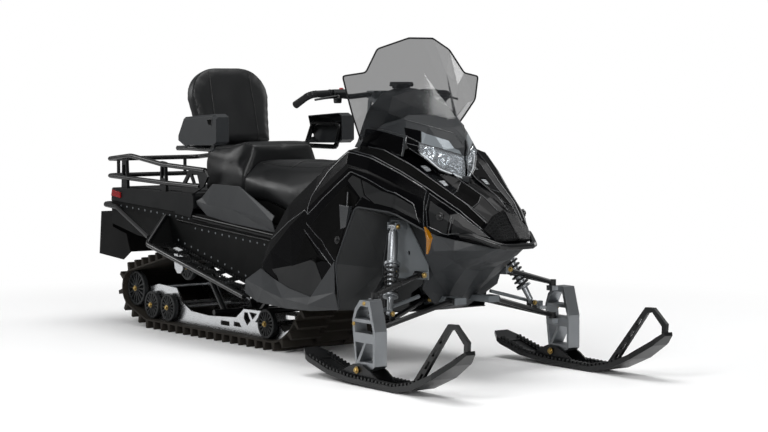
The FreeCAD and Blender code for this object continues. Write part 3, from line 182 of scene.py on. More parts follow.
# Honeycomb moulding: paler ribs, and cells painted dark as the shade inside the openings, from the distance
# to the cells' borders
def honeycomb(name, rib, cell, cellMm, ribShare):
    material, tree, shader, place = emptyMaterial(name, {"Roughness": 0.4, "Specular IOR Level": 0.1})
    cells = addNode(tree, "TexVoronoi", {"feature": "DISTANCE_TO_EDGE"},
                    {"Scale": 1 / (cellMm * mm), "Randomness": 0.35}, {"Vector": place})
    ribs = addNode(tree, "MapRange", {},
                   {"From Min": ribShare * 0.6, "From Max": ribShare, "To Min": 1.0, "To Max": 0.0},
                   {"Value": cells.outputs["Distance"]}).outputs["Result"]
    addColours(tree, shader, cell, rib, ribs)
    addRelief(tree, shader, ribs, 0.8, cellMm * mm * 0.2)
    return material


# Vulcanised rubber belt: dull, slightly brown, with a fine pebble
trackRubber = grained("vulcanisedRubber", "#2c2823", "#211e1a", 0.75, 3.0, 0.35, specular=0.2)
# Grained black ABS: dull, dark, takes a broad soft highlight
blackPlastic = grained("grainedBlackAbs", "#1c1e1f", "#171819", 0.5, 1.6, 0.2, specular=0.3)
# Grained dark grey ABS of the lower panels and covers: a soft sheen
greyPlastic = grained("grainedGreyAbs", "#2a2c2e", "#252729", 0.45, 1.6, 0.18, specular=0.3, edgeMm=4.0)
# Painted and lacquered polypropylene panels: deep black with sharp reflections
glossBody = grained("lacqueredBlackPanel", "#030304", "#020203", 0.14, 60.0, 0.0, spread=0.02, specular=0.09,
                    edgeMm=5.0)
# Matt black inset of the panels, moulded with a fine stipple
mattInset = grained("stippledBlackInset", "#040404", "#030303", 0.7, 1.4, 0.25, specular=0.04)
# The same panels' dull facets, a shade paler
dullPanel = grained("dullBlackPanel", "#111213", "#0f1011", 0.5, 1.6, 0.15, specular=0.2, edgeMm=3.0)
# Pale grey bead along the panels' borders and creases: its paler colour is a painted highlight, a thin bright
# line, and its polish adds real reflections
highlightBead = grained("paleBeadPaintedHighlight", "#2e3032", "#27292b", 0.16, 40.0, 0.0, spread=0.02, specular=0.9)
# Powder coated steel tube: black, even, slight orange peel
blackTube = grained("powderCoatedSteel", "#0d0e0f", "#0b0b0c", 0.3, 2.5, 0.1, specular=0.4)
# Powder coated sheet of tunnel and boards: the same black, but dull
sheetPaint = grained("powderCoatedSheet", "#090a0a", "#070808", 0.55, 2.5, 0.15, specular=0.1)
# Dark ABS of the cargo deck: dull
deckPlastic = grained("grainedDarkAbs", "#141516", "#111213", 0.5, 1.6, 0.2, specular=0.14, edgeMm=4.0)
# Rubber of flap and seat base: no shine
flapRubber = grained("flapRubber", "#101010", "#0d0d0d", 0.7, 3.0, 0.2, specular=0.1)
# Extruded aluminium, brushed lengthwise: streaked highlights
brightAluminium = brushed("brushedAluminium", "#d2d4d6", 0.26, 1.2, (0.05, 1.0, 1.0))
# Cast aluminium: pale, finely rough skin
castAluminium = grained("castAluminium", "#9a9da0", "#8b8e91", 0.4, 1.2, 0.25, metallic=1.0, edgeMm=2.5)
# Painted steel brackets in mid grey
greySteel = grained("greyPaintedSteel", "#707578", "#64686b", 0.42, 2.0, 0.12, metallic=0.3)
# Ultra-high-weight polyethylene: black, waxy
skiPlastic = grained("mouldedPolyethylene", "#0f1011", "#0c0d0e", 0.34, 2.2, 0.12, specular=0.35)
# Grained vinyl upholstery: black with a soft broad sheen
seatVinyl = grained("grainedVinyl", "#131415", "#101112", 0.4, 2.2, 0.35, specular=0.34)
# Smooth black vinyl piping along the seams
pipingVinyl = grained("vinylPiping", "#0c0d0e", "#0a0b0b", 0.4, 1.5, 0.1)
# Rough cast iron and steel of the engine: dark and uneven
engineMetal = grained("roughCastMetal", "#1f2021", "#171818", 0.6, 2.5, 0.5, metallic=0.5)
# Smoked polycarbonate sheet: darkens what lies behind
smokedScreen = clear("smokedPolycarbonate", "#1d1f21", 0.47, 0.05)
# Clear polycarbonate lamp cover: only its reflections show
lampLens = clear("clearPolycarbonate", "#dfe6ec", 0.12, 0.04)
# Red translucent lamp cover, wetly glossy
redLens = grained("redAcrylic", "#8e0f12", "#7c0c0f", 0.15, 8.0, 0.1, coat=0.4, spread=0.02)
# Amber prismatic reflector: small cube corners under a smooth face
amberLens = grained("amberAcrylic", "#9a6408", "#855407", 0.2, 3.0, 0.5, coat=0.4, spread=0.02)
# Vacuum-plated lamp reflector: a broken mirror image
platedReflector = faceted("platedReflector", "#dfe3e6", 24.0)
# The same plating on the panel behind the bowls, painted darker as the shade of its ribs
shadedReflector = faceted("ribbedReflectorPaintedShade", "#5a5e62", 15.0)
# Yellow zinc-plated bolts: pale gold metal
zincPlate = grained("yellowZincPlate", "#b39a62", "#9c8450", 0.35, 1.0, 0.1, metallic=1.0)
# Silver painted trim: a pale line over the lamps
silverTrim = grained("silverPaintedTrim", "#7c8286", "#70767a", 0.35, 2.0, 0.05, metallic=0.3, spread=0.03)
# Opal strip of the daylight lamp: milky white
opalStrip = grained("opalDiffuser", "#e4e8ea", "#d8dcdf", 0.3, 6.0, 0.0, spread=0.02)
# Honeycomb of the nose, nearly black, and the finer pale vents, both with cells painted dark as shade
noseMesh = honeycomb("honeycombNoseMesh", "#101112", "#020202", 11.0, 0.14)
ventMesh = honeycomb("honeycombVentMesh", "#c3c7ca", "#141414", 7.0, 0.2)
# Soft rubber of the grips and the windshield's bead: no gloss
gripRubber = grained("softGripRubber", "#111213", "#0e0f10", 0.7, 1.5, 0.3, specular=0.25)
# Moulded acetal of the stop button: bright satin red
redPlastic = grained("redAcetal", "#b01216", "#980f12", 0.35, 2.0, 0.05)

slotMaterials = {
    "track_rubber": trackRubber, "black_plastic": blackPlastic, "grey_plastic": greyPlastic,
    "gloss_body": glossBody, "black_tube": blackTube, "bright_aluminium": brightAluminium,
    "cast_aluminium": castAluminium, "grey_steel": greySteel, "ski_plastic": skiPlastic,
    "seat_vinyl": seatVinyl, "smoked_screen": smokedScreen, "lamp_lens": lampLens, "red_lens": redLens,
    "engine_metal": engineMetal,
}

# Nodes that look different from the rest of their slot
nodeMaterials = {
    "tunnel": sheetPaint, "running_boards": sheetPaint, "cargo_deck": deckPlastic, "snow_flap": flapRubber,
    "seat_base": flapRubber, "prow": greyPlastic,
}

for part in frame["record"]["subparts"]:
    mesh = frame["nodes"][part["node"]].data
    mesh.materials.clear()
    mesh.materials.append(nodeMaterials.get(part["node"], slotMaterials[part["material_slot"]]))
print("stage: frame painted")


# A part is an array of points in millimetres and a list of face arrays. Here the points are a grid: rows
# along v, columns along u, closed either way and capped at the first and last row if asked
def gridPart(grid, closeU=False, closeV=False, caps=False):
    grid = np.asarray(grid, float)
    rows, columns = grid.shape[:2]
    ids = np.arange(rows * columns).reshape(rows, columns)
    ends = [ids[0][::-1], ids[-1]]
    if closeU:
        ids = np.concatenate([ids, ids[:, :1]], axis=1)
    if closeV:
        ids = np.concatenate([ids, ids[:1]], axis=0)
    quads = np.stack([ids[:-1, :-1], ids[:-1, 1:], ids[1:, 1:], ids[1:, :-1]], axis=-1).reshape(-1, 4)
    faces = [quads]
    if caps:
        faces += [end[None, :] for end in ends]
    return grid.reshape(-1, 3), faces


def joined(parts):
    points, faces, start = [], [], 0
    for partPoints, partFaces in parts:
        points.append(partPoints)
        faces += [array + start for array in partFaces]
        start += len(partPoints)
    return np.concatenate(points), faces


# A line over the middle: the left half, then its mirror image back
def acrossMiddle(half):
    return half + [(x, -y, z) for x, y, z in reversed(half)]


# Centre line through corners, each replaced by a parabola that starts and ends at the bend's reach
def roundedPath(points, bend, steps=7):
    points = np.array(points, float)
    before, corner, after = points[:-2], points[1:-1], points[2:]
    back, ahead = before - corner, after - corner
    backLength = np.linalg.norm(back, axis=1, keepdims=True)
    aheadLength = np.linalg.norm(ahead, axis=1, keepdims=True)
    reach = np.minimum(bend, 0.45 * np.minimum(backLength, aheadLength))
    start = (corner + back / backLength * reach)[:, None]
    end = (corner + ahead / aheadLength * reach)[:, None]
    t = np.linspace(0, 1, steps)[None, :, None]
    arcs = (1 - t) ** 2 * start + 2 * t * (1 - t) * corner[:, None] + t ** 2 * end
    return np.concatenate([points[:1], arcs.reshape(-1, 3), points[-1:]])


# Points at even steps along a line of corners
def evenPoints(line, count):
    run = np.concatenate([[0], np.cumsum(np.linalg.norm(np.diff(line, axis=0), axis=1))])
    t = np.linspace(0, run[-1], count)
    return np.stack([np.interp(t, run, column) for column in line.T], axis=-1)


def unit(vectors):
    return vectors / np.linalg.norm(vectors, axis=-1, keepdims=True)


# Two directions square to an axis
def squareTo(axis):
    other = np.array([0.0, 0.0, 1.0]) if abs(axis[2]) < 0.9 else np.array([1.0, 0.0, 0.0])
    side = unit(np.cross(axis, other))
    return side, np.cross(axis, side)


# Directions all round: cos(turn) * side + sin(turn) * up
def circle(side, up, count):
    turn = np.linspace(0, 2 * np.pi, count, endpoint=False)[None, :, None]
    return np.cos(turn) * side + np.sin(turn) * up


# Round tube: a circle carried along the path, its frame from the tangent and the path's own plane
def tubePart(path, radius, sides=16):
    path = np.asarray(path, float)
    tangent = unit(np.gradient(path, axis=0))
    normal = np.linalg.svd(path - path.mean(axis=0))[2][2]
    side = unit(np.cross(tangent, normal))
    up = np.cross(side, tangent)
    reach = np.asarray(radius, float).reshape(-1, 1, 1)
    return gridPart(path[:, None] + reach * circle(side[:, None], up[:, None], sides), closeU=True, caps=True)


# Turned piece: a profile of (distance along, radius) pairs carried round a line, capped, or closed as a ring
def turnedPart(start, facing, profile, sides=28, ring=False):
    start, axis = np.array(start, float), unit(np.array(facing, float))
    side, up = squareTo(axis)
    along, reach = np.array(profile, float).T[:, :, None, None]
    points = start + axis * along + reach * circle(side, up, sides)
    return gridPart(points, closeU=True, closeV=ring, caps=not ring)


# Coil spring: a circle of wire carried along a helix, its frame from the spoke and the tangent
def coilPart(start, end, radius, wire, turns, sides=10, stepsPerTurn=26):
    side, up = squareTo(unit(end - start))
    t = np.linspace(0, 1, int(turns * stepsPerTurn))[:, None]
    angle = 2 * np.pi * turns * t
    spoke = np.cos(angle) * side + np.sin(angle) * up
    path = start + (end - start) * t + spoke * radius
    other = np.cross(unit(np.gradient(path, axis=0)), spoke)
    ring = path[:, None] + wire * circle(spoke[:, None], other[:, None], sides)
    return gridPart(ring, closeU=True, caps=True)


# Plate: an outline of points pushed along one axis (0, 1 or 2) from low to high
def platePart(outline, axis, low, high):
    outline = np.array(outline, float)
    count = len(outline)
    levels = [np.insert(outline, axis, level, axis=1) for level in (low, high)]
    ids = np.arange(count)
    after = np.roll(ids, -1)
    sides = np.stack([ids, after, after + count, ids + count], axis=-1)
    return np.concatenate(levels), [ids[::-1][None, :], (ids + count)[None, :], sides]


# Hexagon head on a washer, standing on a point and facing along a direction
def boltPart(place, facing, size):
    washer = turnedPart(place, facing, [(-2, size), (0, size), (0.18 * size, 0.96 * size)], 20)
    headProfile = [(0, 0.7 * size), (0.55 * size, 0.7 * size), (0.7 * size, 0.55 * size)]
    return joined([washer, turnedPart(place, facing, headProfile, 6)])


# Straight beam of eight-sided section
def beamPart(start, end, halfY, halfZ):
    ring = np.array([(-1, -0.6), (-0.6, -1), (0.6, -1), (1, -0.6), (1, 0.6), (0.6, 1), (-0.6, 1), (-1, 0.6)])
    offset = np.stack([np.zeros(8), ring[:, 0] * halfY, ring[:, 1] * halfZ], axis=-1)
    return gridPart(np.array([start, end], float)[:, None] + offset, closeU=True, caps=True)


# A sheet is a point inside the body, its heart, and rows of corners on a moulded panel
def sheetOf(heart, rows):
    return np.array(heart), np.array(rows, float)


# Points at u along the rows and v across them. Each cell is two triangles on its shorter diagonal, as in the
# CAD, and a point is a corner + s * (one edge) + t * (the other)
def onRows(rows, u, v):
    i = np.clip(np.floor(v).astype(int), 0, len(rows) - 2)
    j = np.clip(np.floor(u).astype(int), 0, rows.shape[1] - 2)
    s, t = (u - j)[..., None], (v - i)[..., None]
    a, b, c, d = rows[i, j], rows[i, j + 1], rows[i + 1, j + 1], rows[i + 1, j]
    first = np.where(s >= t, a + s * (b - a) + t * (c - b), a + t * (d - a) + s * (c - d))
    second = np.where(s + t <= 1, a + s * (b - a) + t * (d - a), c + (1 - s) * (d - c) + (1 - t) * (b - c))
    shorter = np.linalg.norm(a - c, axis=-1, keepdims=True) <= np.linalg.norm(b - d, axis=-1, keepdims=True)
    return np.where(shorter, first, second)


# Thin patch: four (u, v) corners, filled by bilinear blending, lifted along the outward normal
def patchPart(sheet, corners, lift=2.0, steps=32, wall=2.4):
    heart, rows = sheet
    s, t = np.linspace(0, 1, steps)[:, None], np.linspace(0, 1, steps)[None, :]
    p, q, r, w = np.array(corners, float)
    u, v = (p[k] * (1 - s) * (1 - t) + q[k] * s * (1 - t) + r[k] * s * t + w[k] * (1 - s) * t for k in (0, 1))
    base = onRows(rows, u, v)
    normal = unit(np.cross(np.gradient(base, axis=0), np.gradient(base, axis=1)))
    facing = np.sum(normal * (base - heart), axis=-1, keepdims=True)
    outward = np.where(facing < 0, -normal, normal)
    ring = np.concatenate([base + outward * lift, (base + outward * (lift - wall))[:, ::-1]], axis=1)
    return gridPart(ring, closeU=True, caps=True)


# Thin bead along a line of (u, v) points on a sheet
def beadPart(sheet, line, radius, lift=1.4, steps=80):
    heart, rows = sheet
    path = onRows(rows, *evenPoints(np.array(line, float), steps).T)
    return tubePart(path + unit(path - heart) * lift, radius, 8)


# Several of them on one sheet, a bead's radius standing before its line
def patchParts(sheet, *corners, **rest):
    return [patchPart(sheet, each, **rest) for each in corners]


def beadParts(sheet, *beads):
    return [beadPart(sheet, line, radius) for radius, *line in beads]


def addObject(name, data):
    made = bpy.data.objects.new(name, data)
    bpy.context.scene.collection.objects.link(made)
    return made


# Puts a part into the scene as a piece that rides on a body, its faces turned outwards
def addPiece(name, part, material, body="chassis", slot="black_plastic", bevel=0.0, angle=32.0):
    points, faces = part
    mesh = bpy.data.meshes.new(name)
    mesh.from_pydata((points * mm).tolist(), [], [face for array in faces for face in array.tolist()])
    shape = bmesh.new()
    shape.from_mesh(mesh)
    bmesh.ops.recalc_face_normals(shape, faces=shape.faces)
    shape.to_mesh(mesh)
    shape.free()
    mesh.materials.append(material)
    mesh.polygons.foreach_set("use_smooth", np.ones(len(mesh.polygons), bool))
    mesh.set_sharp_from_angle(angle=math.radians(angle))
    piece = addObject(name, mesh)
    if bevel > 0:
        edge = piece.modifiers.new("edge", "BEVEL")
        edge.width = bevel * mm
        edge.segments = 2
        edge.limit_method = "ANGLE"
        edge.angle_limit = math.radians(35)
        edge.harden_normals = True
    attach(piece, body)
    return piece


# The same for parts of the left side, which are joined and mirrored across y = 0
def addPair(name, parts, material, **rest):
    points, faces = joined(parts)
    right = points * (1, -1, 1), [array[:, ::-1] for array in faces]
    return addPiece(name, joined([(points, faces), right]), material, **rest)


# The same for a table: name, then material, slot and parts, with a bevel where there is one
def addPairs(table, body="chassis"):
    for name, (material, slot, parts, *bevel) in table.items():
        addPair(name, parts, material, body=body, slot=slot, bevel=bevel[0] if bevel else 0)


# Windshield: soft bead round the rim of the smoked sheet
screen = {
    "rim": [(605, 240, 992), (640, 305, 1095), (665, 345, 1165), (655, 369, 1268), (684, 268, 1283),
            (669, 196, 1385), (721, 66, 1432)],
    "bend": 14.0, "beadRadius": 3.6,
}
rim = roundedPath(acrossMiddle(screen["rim"]), screen["bend"])
addPiece("windshieldBead", tubePart(rim, screen["beadRadius"], 12), gripRubber, slot="black_plastic")
print("stage: windshield")

# Lamps: plated bowls (place, radius, depth) with bulbs, the ribbed plate behind them and the daylight strip
lamp = {
    "facing": (0.80, 0.56, -0.16),
    "bowls": [((918, 104, 944), 28.0, 24.0), ((958, 58, 915), 26.0, 24.0)],
    "bowlWall": (2.0, 1.5),
    "bulb": [(2, 9), (16, 9), (22, 7), (25, 2)],
    "plate": [[(898, 126, 970), (915, 115, 962), (965, 58, 944), (1020, 6, 922)],
              [(902, 124, 940), (915, 113, 928), (960, 62, 905), (1022, 8, 880)],
              [(906, 116, 912), (915, 105, 902), (950, 70, 868), (1024, 8, 832)]],
    "plateWall": 8.0, "plateTaper": 0.92,
    "strip": [(862, 163, 967), (925, 136, 930), (972, 92, 874), (1036, 16, 836)],
    "stripBend": 16.0, "stripRadius": 3.0,
}


# Bowl: a parabola of depth times (radius share squared), turned about the lamp's facing
def lampBowl(place, radius, depth):
    share = np.linspace(0.04, 1.0, 14)
    back, side = lamp["bowlWall"]
    inner = np.stack([depth * share ** 2, radius * share], axis=-1)
    outer = np.stack([depth * share[::-1] ** 2 - back, radius * share[::-1] + side], axis=-1)
    return turnedPart(place, lamp["facing"], np.concatenate([inner, outer]), 40)


bowls = [lampBowl(*bowl) for bowl in lamp["bowls"]]
bulbs = [turnedPart(bowl[0], lamp["facing"], lamp["bulb"], 24) for bowl in lamp["bowls"]]
front = np.array(lamp["plate"], float)
rear = front * (1.0, lamp["plateTaper"], 1.0) - (lamp["plateWall"], 0.0, 0.0)
strip = roundedPath(lamp["strip"], lamp["stripBend"])
addPairs({
    "lampBowls": (platedReflector, "lamp_lens", bowls + bulbs),
    # The plate behind the bowls: the plating painted darker as shade
    "lampBacking": (shadedReflector, "lamp_lens", [gridPart(np.concatenate([front, rear[::-1]]), closeV=True)]),
    "daylightStrip": (opalStrip, "lamp_lens", [tubePart(strip, lamp["stripRadius"], 10)]),
})

# Pod: its moulded sheets, the facets and painted-highlight beads on them, the chin under the nose and the
# gauge
podHeart = (760.0, 0.0, 1020.0)
podSheet = sheetOf(podHeart, [
    [(560, 90, 1195), (660, 110, 1178), (780, 95, 1140), (900, 55, 1100), (985, 22, 1050), (1036, 6, 990)],
    [(560, 170, 1120), (710, 168, 1109), (800, 140, 1080), (900, 95, 1055), (990, 30, 1026), (1040, 8, 965)],
    [(560, 200, 1050), (690, 192, 1040), (835, 167, 1012), (912, 136, 979), (975, 70, 955), (1034, 8, 930)]])
cowlSheet = sheetOf(podHeart, [
    [(560, 200, 1050), (690, 192, 1040), (835, 167, 1012)],
    [(560, 225, 985), (690, 215, 970), (838, 178, 950)],
    [(560, 240, 962), (690, 225, 955), (838, 185, 925)]])
lampSheet = sheetOf(podHeart, [
    [(836, 167, 1012), (912, 136, 979), (975, 70, 955), (1034, 8, 930)],
    [(846, 178, 985), (925, 150, 945), (990, 85, 915), (1044, 10, 890)],
    [(858, 174, 965), (925, 145, 925), (975, 95, 868), (1046, 8, 822)]])
chin = [[(x, y, z), (x + ahead, 0, z + rise), (x, -y, z)] for x, y, z, ahead, rise in (
    (1046, 26, 838, 12, 4), (1040, 14, 812, 16, -12), (1036, 10, 814, 10, -8), (1042, 24, 842, 6, 2))]
gauge = [platePart([(545, 1224), (605, 1222), (612, 1232), (604, 1243), (552, 1244)], 1, -44, 44),
         platePart([(556, 1214), (596, 1214), (596, 1226), (556, 1226)], 1, -36, 36)]
pod = {
    "podSheets": (glossBody, "gloss_body", [
        patchPart(cowlSheet, [(0.25, 0.12), (1.96, 0.12), (1.96, 1.96), (0.25, 1.96)]),
        patchPart(lampSheet, [(0.05, 0.05), (0.8, 0.05), (0.86, 1.9), (0.05, 1.9)]),
        patchPart(podSheet, [(1.95, 1.5), (2.7, 1.42), (2.9, 1.97), (2.0, 1.97)])]),
    # Pale beads along the pod's creases: painted highlight lines
    "podHighlightBeads": (highlightBead, "gloss_body", [
        *beadParts(podSheet, (2.0, (0.4, 1.98), (4.9, 1.99)), (1.2, (0.1, 1.0), (4.8, 1.0))),
        *beadParts(lampSheet, (2.0, (0.8, 0.02), (0.86, 1.95)), (2.4, (0.12, 1.96), (2.96, 1.96)),
                   (1.6, (0.1, 0.95), (0.8, 0.5))),
        *beadParts(cowlSheet, (1.8, (0.3, 1.9), (1.95, 1.9), (1.95, 0.1)))]),
}
brow = patchPart(podSheet, [(2.75, 1.42), (4.75, 1.5), (4.9, 1.97), (2.95, 1.97)])
addPair("lampBrow", [brow], silverTrim, slot="grey_plastic", angle=10)
addPairs(pod)
addPiece("podChin", gridPart(chin, closeV=True), greyPlastic, slot="grey_plastic", angle=10)
addPiece("gauge", joined(gauge), blackPlastic, bevel=3.0)
print("stage: lamps and pod")

# Front shock absorbers: turned bodies with spring seats and eyes, and coils (radius, wire, turns) over them
shock = {
    "top": (878, 262, 632), "foot": (1015, 384, 282),
    "body": [(2, 6), (4, 13), (22, 14), (26, 19), (34, 19), (36, 22), (158, 22), (162, 20), (166, 20),
             (168, 34), (180, 34), (182, 24), (196, 24), (200, 19), (300, 18), (304, 12), (308, 9),
             (312, 32), (322, 33), (326, 14), (384, 12), (390, 4)],
    "topEye": [(-26, 9), (-24, 13), (24, 13), (26, 9)],
    "footEye": [(-17, 7), (-15, 10), (15, 10), (17, 7)],
    "coilSpan": (0.46, 0.785), "coil": (28.0, 4.2, 6.2),
}
shockTop, shockFoot = np.array(shock["top"], float), np.array(shock["foot"], float)
shockLine = shockFoot - shockTop
shockPieces = [turnedPart(shockTop, shockLine, shock["body"]),
               turnedPart(shockTop, (1, 0, 0), shock["topEye"], 20),
               turnedPart(shockFoot, (1, 0, 0), shock["footEye"], 20)]
shocks = addPair("shockBodies", shockPieces, castAluminium, slot="grey_steel")
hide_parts("front_shocks")
coilEnds = [shockTop + shockLine * share for share in shock["coilSpan"]]
addPair("shockCoils", [coilPart(*coilEnds, *shock["coil"])], blackTube, slot="black_tube")
print("stage: shocks")

# Wheels in the track (x, z, radius): rim, hub and web turned from profiles, and flat spokes between them
wheel = {
    "places": [(-1419, 190, 90), (-1262, 116.8, 70.5), (-1099, 116.8, 70.5), (-189, 116.8, 70.5),
               (-905, 336, 67)],
    "planeY": 214.0, "width": 26.0, "rimDepth": 14.0, "webInset": 6.0, "spokes": 16,
    "spokeEnds": (20.0, 11.0), "spokeHalves": (3.2, 4.6), "spokeInset": (8.0, 3.0),
    "bolt": (17.0, 14.0),
}


def wheelPart(x, z, radius):
    width, depth = wheel["width"], wheel["rimDepth"]
    inner, across = np.array([x, wheel["planeY"] - width / 2, z]), (0, 1, 0)
    rim = [(0, radius - 10), (0, radius - 3), (3, radius), (width - 3, radius), (width, radius - 3),
           (width, radius - 12), (width - 3, radius - depth), (3, radius - depth)]
    hub = [(0, 12.5), (0, 22), (16, 24), (width + 1, 21), (width + 3, 18), (width + 3, 12.5)]
    web = [(0, 20), (0, radius - 12), (4, radius - 12), (4, 20)]
    parts = [turnedPart(inner + (0, inset, 0), across, profile, sides, ring=True)
             for inset, profile, sides in ((0, rim, 56), (0, hub, 36), (wheel["webInset"], web, 56))]
    near, far = wheel["spokeEnds"][0], radius - wheel["spokeEnds"][1]
    footHalf, tipHalf = wheel["spokeHalves"]
    low, high = inner[1] + wheel["spokeInset"][0], inner[1] + width - wheel["spokeInset"][1]
    for angle in np.arange(wheel["spokes"]) * 2 * np.pi / wheel["spokes"]:
        ahead, beside = np.array([(math.cos(angle), math.sin(angle)), (-math.sin(angle), math.cos(angle))])
        outline = [ahead * near + beside * footHalf, ahead * far + beside * tipHalf,
                   ahead * far - beside * tipHalf, ahead * near - beside * footHalf]
        parts.append(platePart(np.array(outline) + (x, z), 1, low, high))
    return joined(parts)


wheels = addPair("idlerWheels", [wheelPart(*place) for place in wheel["places"]], blackPlastic,
                 slot="black_plastic")
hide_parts("idler_wheels")
boltOut, boltSize = wheel["bolt"]
wheelBolts = [boltPart((x, wheel["planeY"] + boltOut, z), (0, 1, 0), boltSize) for x, z, r in wheel["places"]]
addPair("wheelBolts", wheelBolts, zincPlate, slot="grey_steel")
print("stage: wheels")

# Handlebar: bar, ribbed grips with hooked ends and collars, switch blocks, levers and the stop button
bar = {
    "bar": [(338, 395, 1146), (425, 381, 1190), (440, 300, 1192), (446, 190, 1178), (428, 70, 1188)],
    "barBend": 26.0, "barRadius": 11.6,
    "grip": [(332, 396, 1143), (425, 381, 1190), (441, 292, 1192)],
    "gripBend": 34.0, "gripRadius": 16.0, "ribDepth": 0.9, "ribs": 12,
    "lever": [(456, 262, 1184), (500, 280, 1180), (498, 330, 1176), (476, 392, 1166)],
    "leverBend": 26.0, "leverRadii": (8.0, 5.0),
    "button": ((440, -226, 1210), (0, 0, 1), [(0, 10), (5, 10), (7, 8), (8, 3)]),
}
barPath = roundedPath(acrossMiddle(bar["bar"]), bar["barBend"])
addPiece("barFinish", tubePart(barPath, bar["barRadius"], 20), blackTube, body="steering", slot="black_tube")
gripPath = roundedPath(bar["grip"], bar["gripBend"], 18)
ribWave = np.cos(np.linspace(0, 2 * np.pi * bar["ribs"], len(gripPath)))
leverPath = roundedPath(bar["lever"], bar["leverBend"], 10)
addPairs({
    "grips": (gripRubber, "black_plastic", [
        tubePart(gripPath, bar["gripRadius"] + bar["ribDepth"] * ribWave, 24),
        turnedPart((441, 294, 1192), (1, -10, -1), [(0, 17), (1, 20), (8, 20), (10, 17)], 24)]),
    "switchBlocks": (blackPlastic, "black_plastic", [
        platePart([(420, 1170), (462, 1172), (468, 1196), (456, 1212), (424, 1210), (414, 1192)],
                  1, 214, 278),
        platePart([(430, 1150), (452, 1150), (456, 1174), (426, 1174)], 1, 232, 262)], 4.0),
    "brakeLevers": (blackTube, "black_tube", [
        tubePart(leverPath, np.linspace(*bar["leverRadii"], len(leverPath)), 14)]),
}, body="steering")
addPiece("stopButton", turnedPart(*bar["button"], 24), redPlastic, body="steering", slot="red_lens")
print("stage: handlebar")

# Round tubes (radius, bend, corners) of the bumper, the rack, the handles and the boards' edges
tube = {
    "bumper": (12.0, 36.0, (1218, 164.5, 610), (1275, 150, 607), (1392, 84, 566)),
    "rackTop": (11.0, 30.0, (-650, 270, 822), (-1060, 270, 838), (-1380, 270, 874), (-1610, 270, 852),
                (-1640, 230, 850)),
    "rackLow": (11.0, 30.0, (-700, 270, 742), (-1050, 270, 748), (-1610, 270, 764), (-1640, 230, 764)),
    "handle": (12.0, 26.0, (-852, 297, 925), (-700, 340, 930), (-440, 352, 928), (-400, 352, 1040),
               (-640, 352, 1045), (-690, 346, 940)),
    "boardEdge": (12.0, 26.0, (-66, 420, 266), (-958, 420, 455), (-1004, 287, 588)), "skin": 0.9,
}


# Tube over the middle, proud of the solid by the skin
def ringTube(radius, bend, *half):
    return tubePart(roundedPath(acrossMiddle(list(half)), bend, 9), radius + tube["skin"], 20)


def sideTube(radius, bend, *line):
    return tubePart(roundedPath(line, bend, 9), radius, 18)


rack = joined([ringTube(*tube["rackTop"]), ringTube(*tube["rackLow"])])
addPiece("frontBumperTube", ringTube(*tube["bumper"]), blackTube, slot="black_tube")
addPiece("rackTubes", rack, blackTube, slot="black_tube")
addPairs({"handleTubes": (blackTube, "black_tube", [sideTube(*tube["handle"])]),
          "boardEdgeTubes": (blackTube, "black_tube", [sideTube(*tube["boardEdge"])])})
print("stage: tubes")

# Running boards: rows of grip teeth beside the slots, and two rows of rivets along the tunnel's side
board = {
    "line": ((-958, -66), (457, 268)), "toothPitch": 22.0, "toothRows": (283.0, 344.0, 402.0),
    "toothWidth": 4.0,
    "tooth": [(0, -2), (12, -4), (10, 6), (6, 3), (2, 8)],
    "rivetPitch": 62.0, "rivetY": 275.0, "rivetLift": 26.0,
    "rivet": [(0, 5.5), (1.2, 5.0), (2.2, 3.4), (2.6, 1.0)],
}


def boardHeight(x):
    return np.interp(x, *board["line"])


teeth = []
for y in board["toothRows"]:
    for x in np.arange(-930.0, -80.0, board["toothPitch"]):
        outline = np.array(board["tooth"]) + (x, boardHeight(x))
        teeth.append(platePart(outline, 1, y, y + board["toothWidth"]))
addPair("boardTeeth", teeth, blackTube, slot="black_tube")
upperX = np.arange(-1480.0, 60.0, board["rivetPitch"])
upperZ = np.where(upperX < -760, 600 - 0.048 * (upperX + 1200), 534 - 0.066 * (upperX + 700))
lowerX = np.arange(-900.0, -70.0, board["rivetPitch"])
lowerZ = boardHeight(lowerX) + board["rivetLift"]
rivets = [turnedPart((x, board["rivetY"], z), (0, 1, 0), board["rivet"], 12)
          for x, z in [*zip(upperX, upperZ), *zip(lowerX, lowerZ)]]
addPair("tunnelRivets", rivets, greySteel, slot="grey_steel")
print("stage: boards")

# Skis: cross ribs on both sides of the keel, and the plated bolts of saddle and spindle
ski = {
    "middleY": 520.5,
    "topX": [629, 712, 850, 1000, 1300, 1410, 1550, 1670, 1732],
    "topZ": [114, 82, 46, 30, 24, 44, 100, 168, 206],
    "ribStart": 705.0, "ribEnd": 1480.0, "ribPitch": 25.0,
    "ribSides": ((-58, -37), (37, 58)),
    "bolts": [((1039, 570.5, 63), (0, 1, 0), 15.0), ((1039, 470.5, 63), (0, -1, 0), 15.0),
              ((1066, 551, 338), (0, 1, 0), 9.0), ((993, 551, 250), (0, 1, 0), 9.0)],
}


def skiTop(x):
    return float(np.interp(x, ski["topX"], ski["topZ"]))


# Rib with a serrated top: its foot lies 5 under the ski's top, its front rises with the slope
def skiRib(x, sides):
    z, slope = skiTop(x), math.atan2(skiTop(x + 5) - skiTop(x - 5), 10.0)
    outline = [(x - 4, z - 5), (x + 12, z - 5 + 12 * slope), (x + 9, z + 9 + 12 * slope), (x + 3, z + 13),
               (x - 3, z + 7)]
    return platePart(outline, 1, *(ski["middleY"] + side for side in sides))


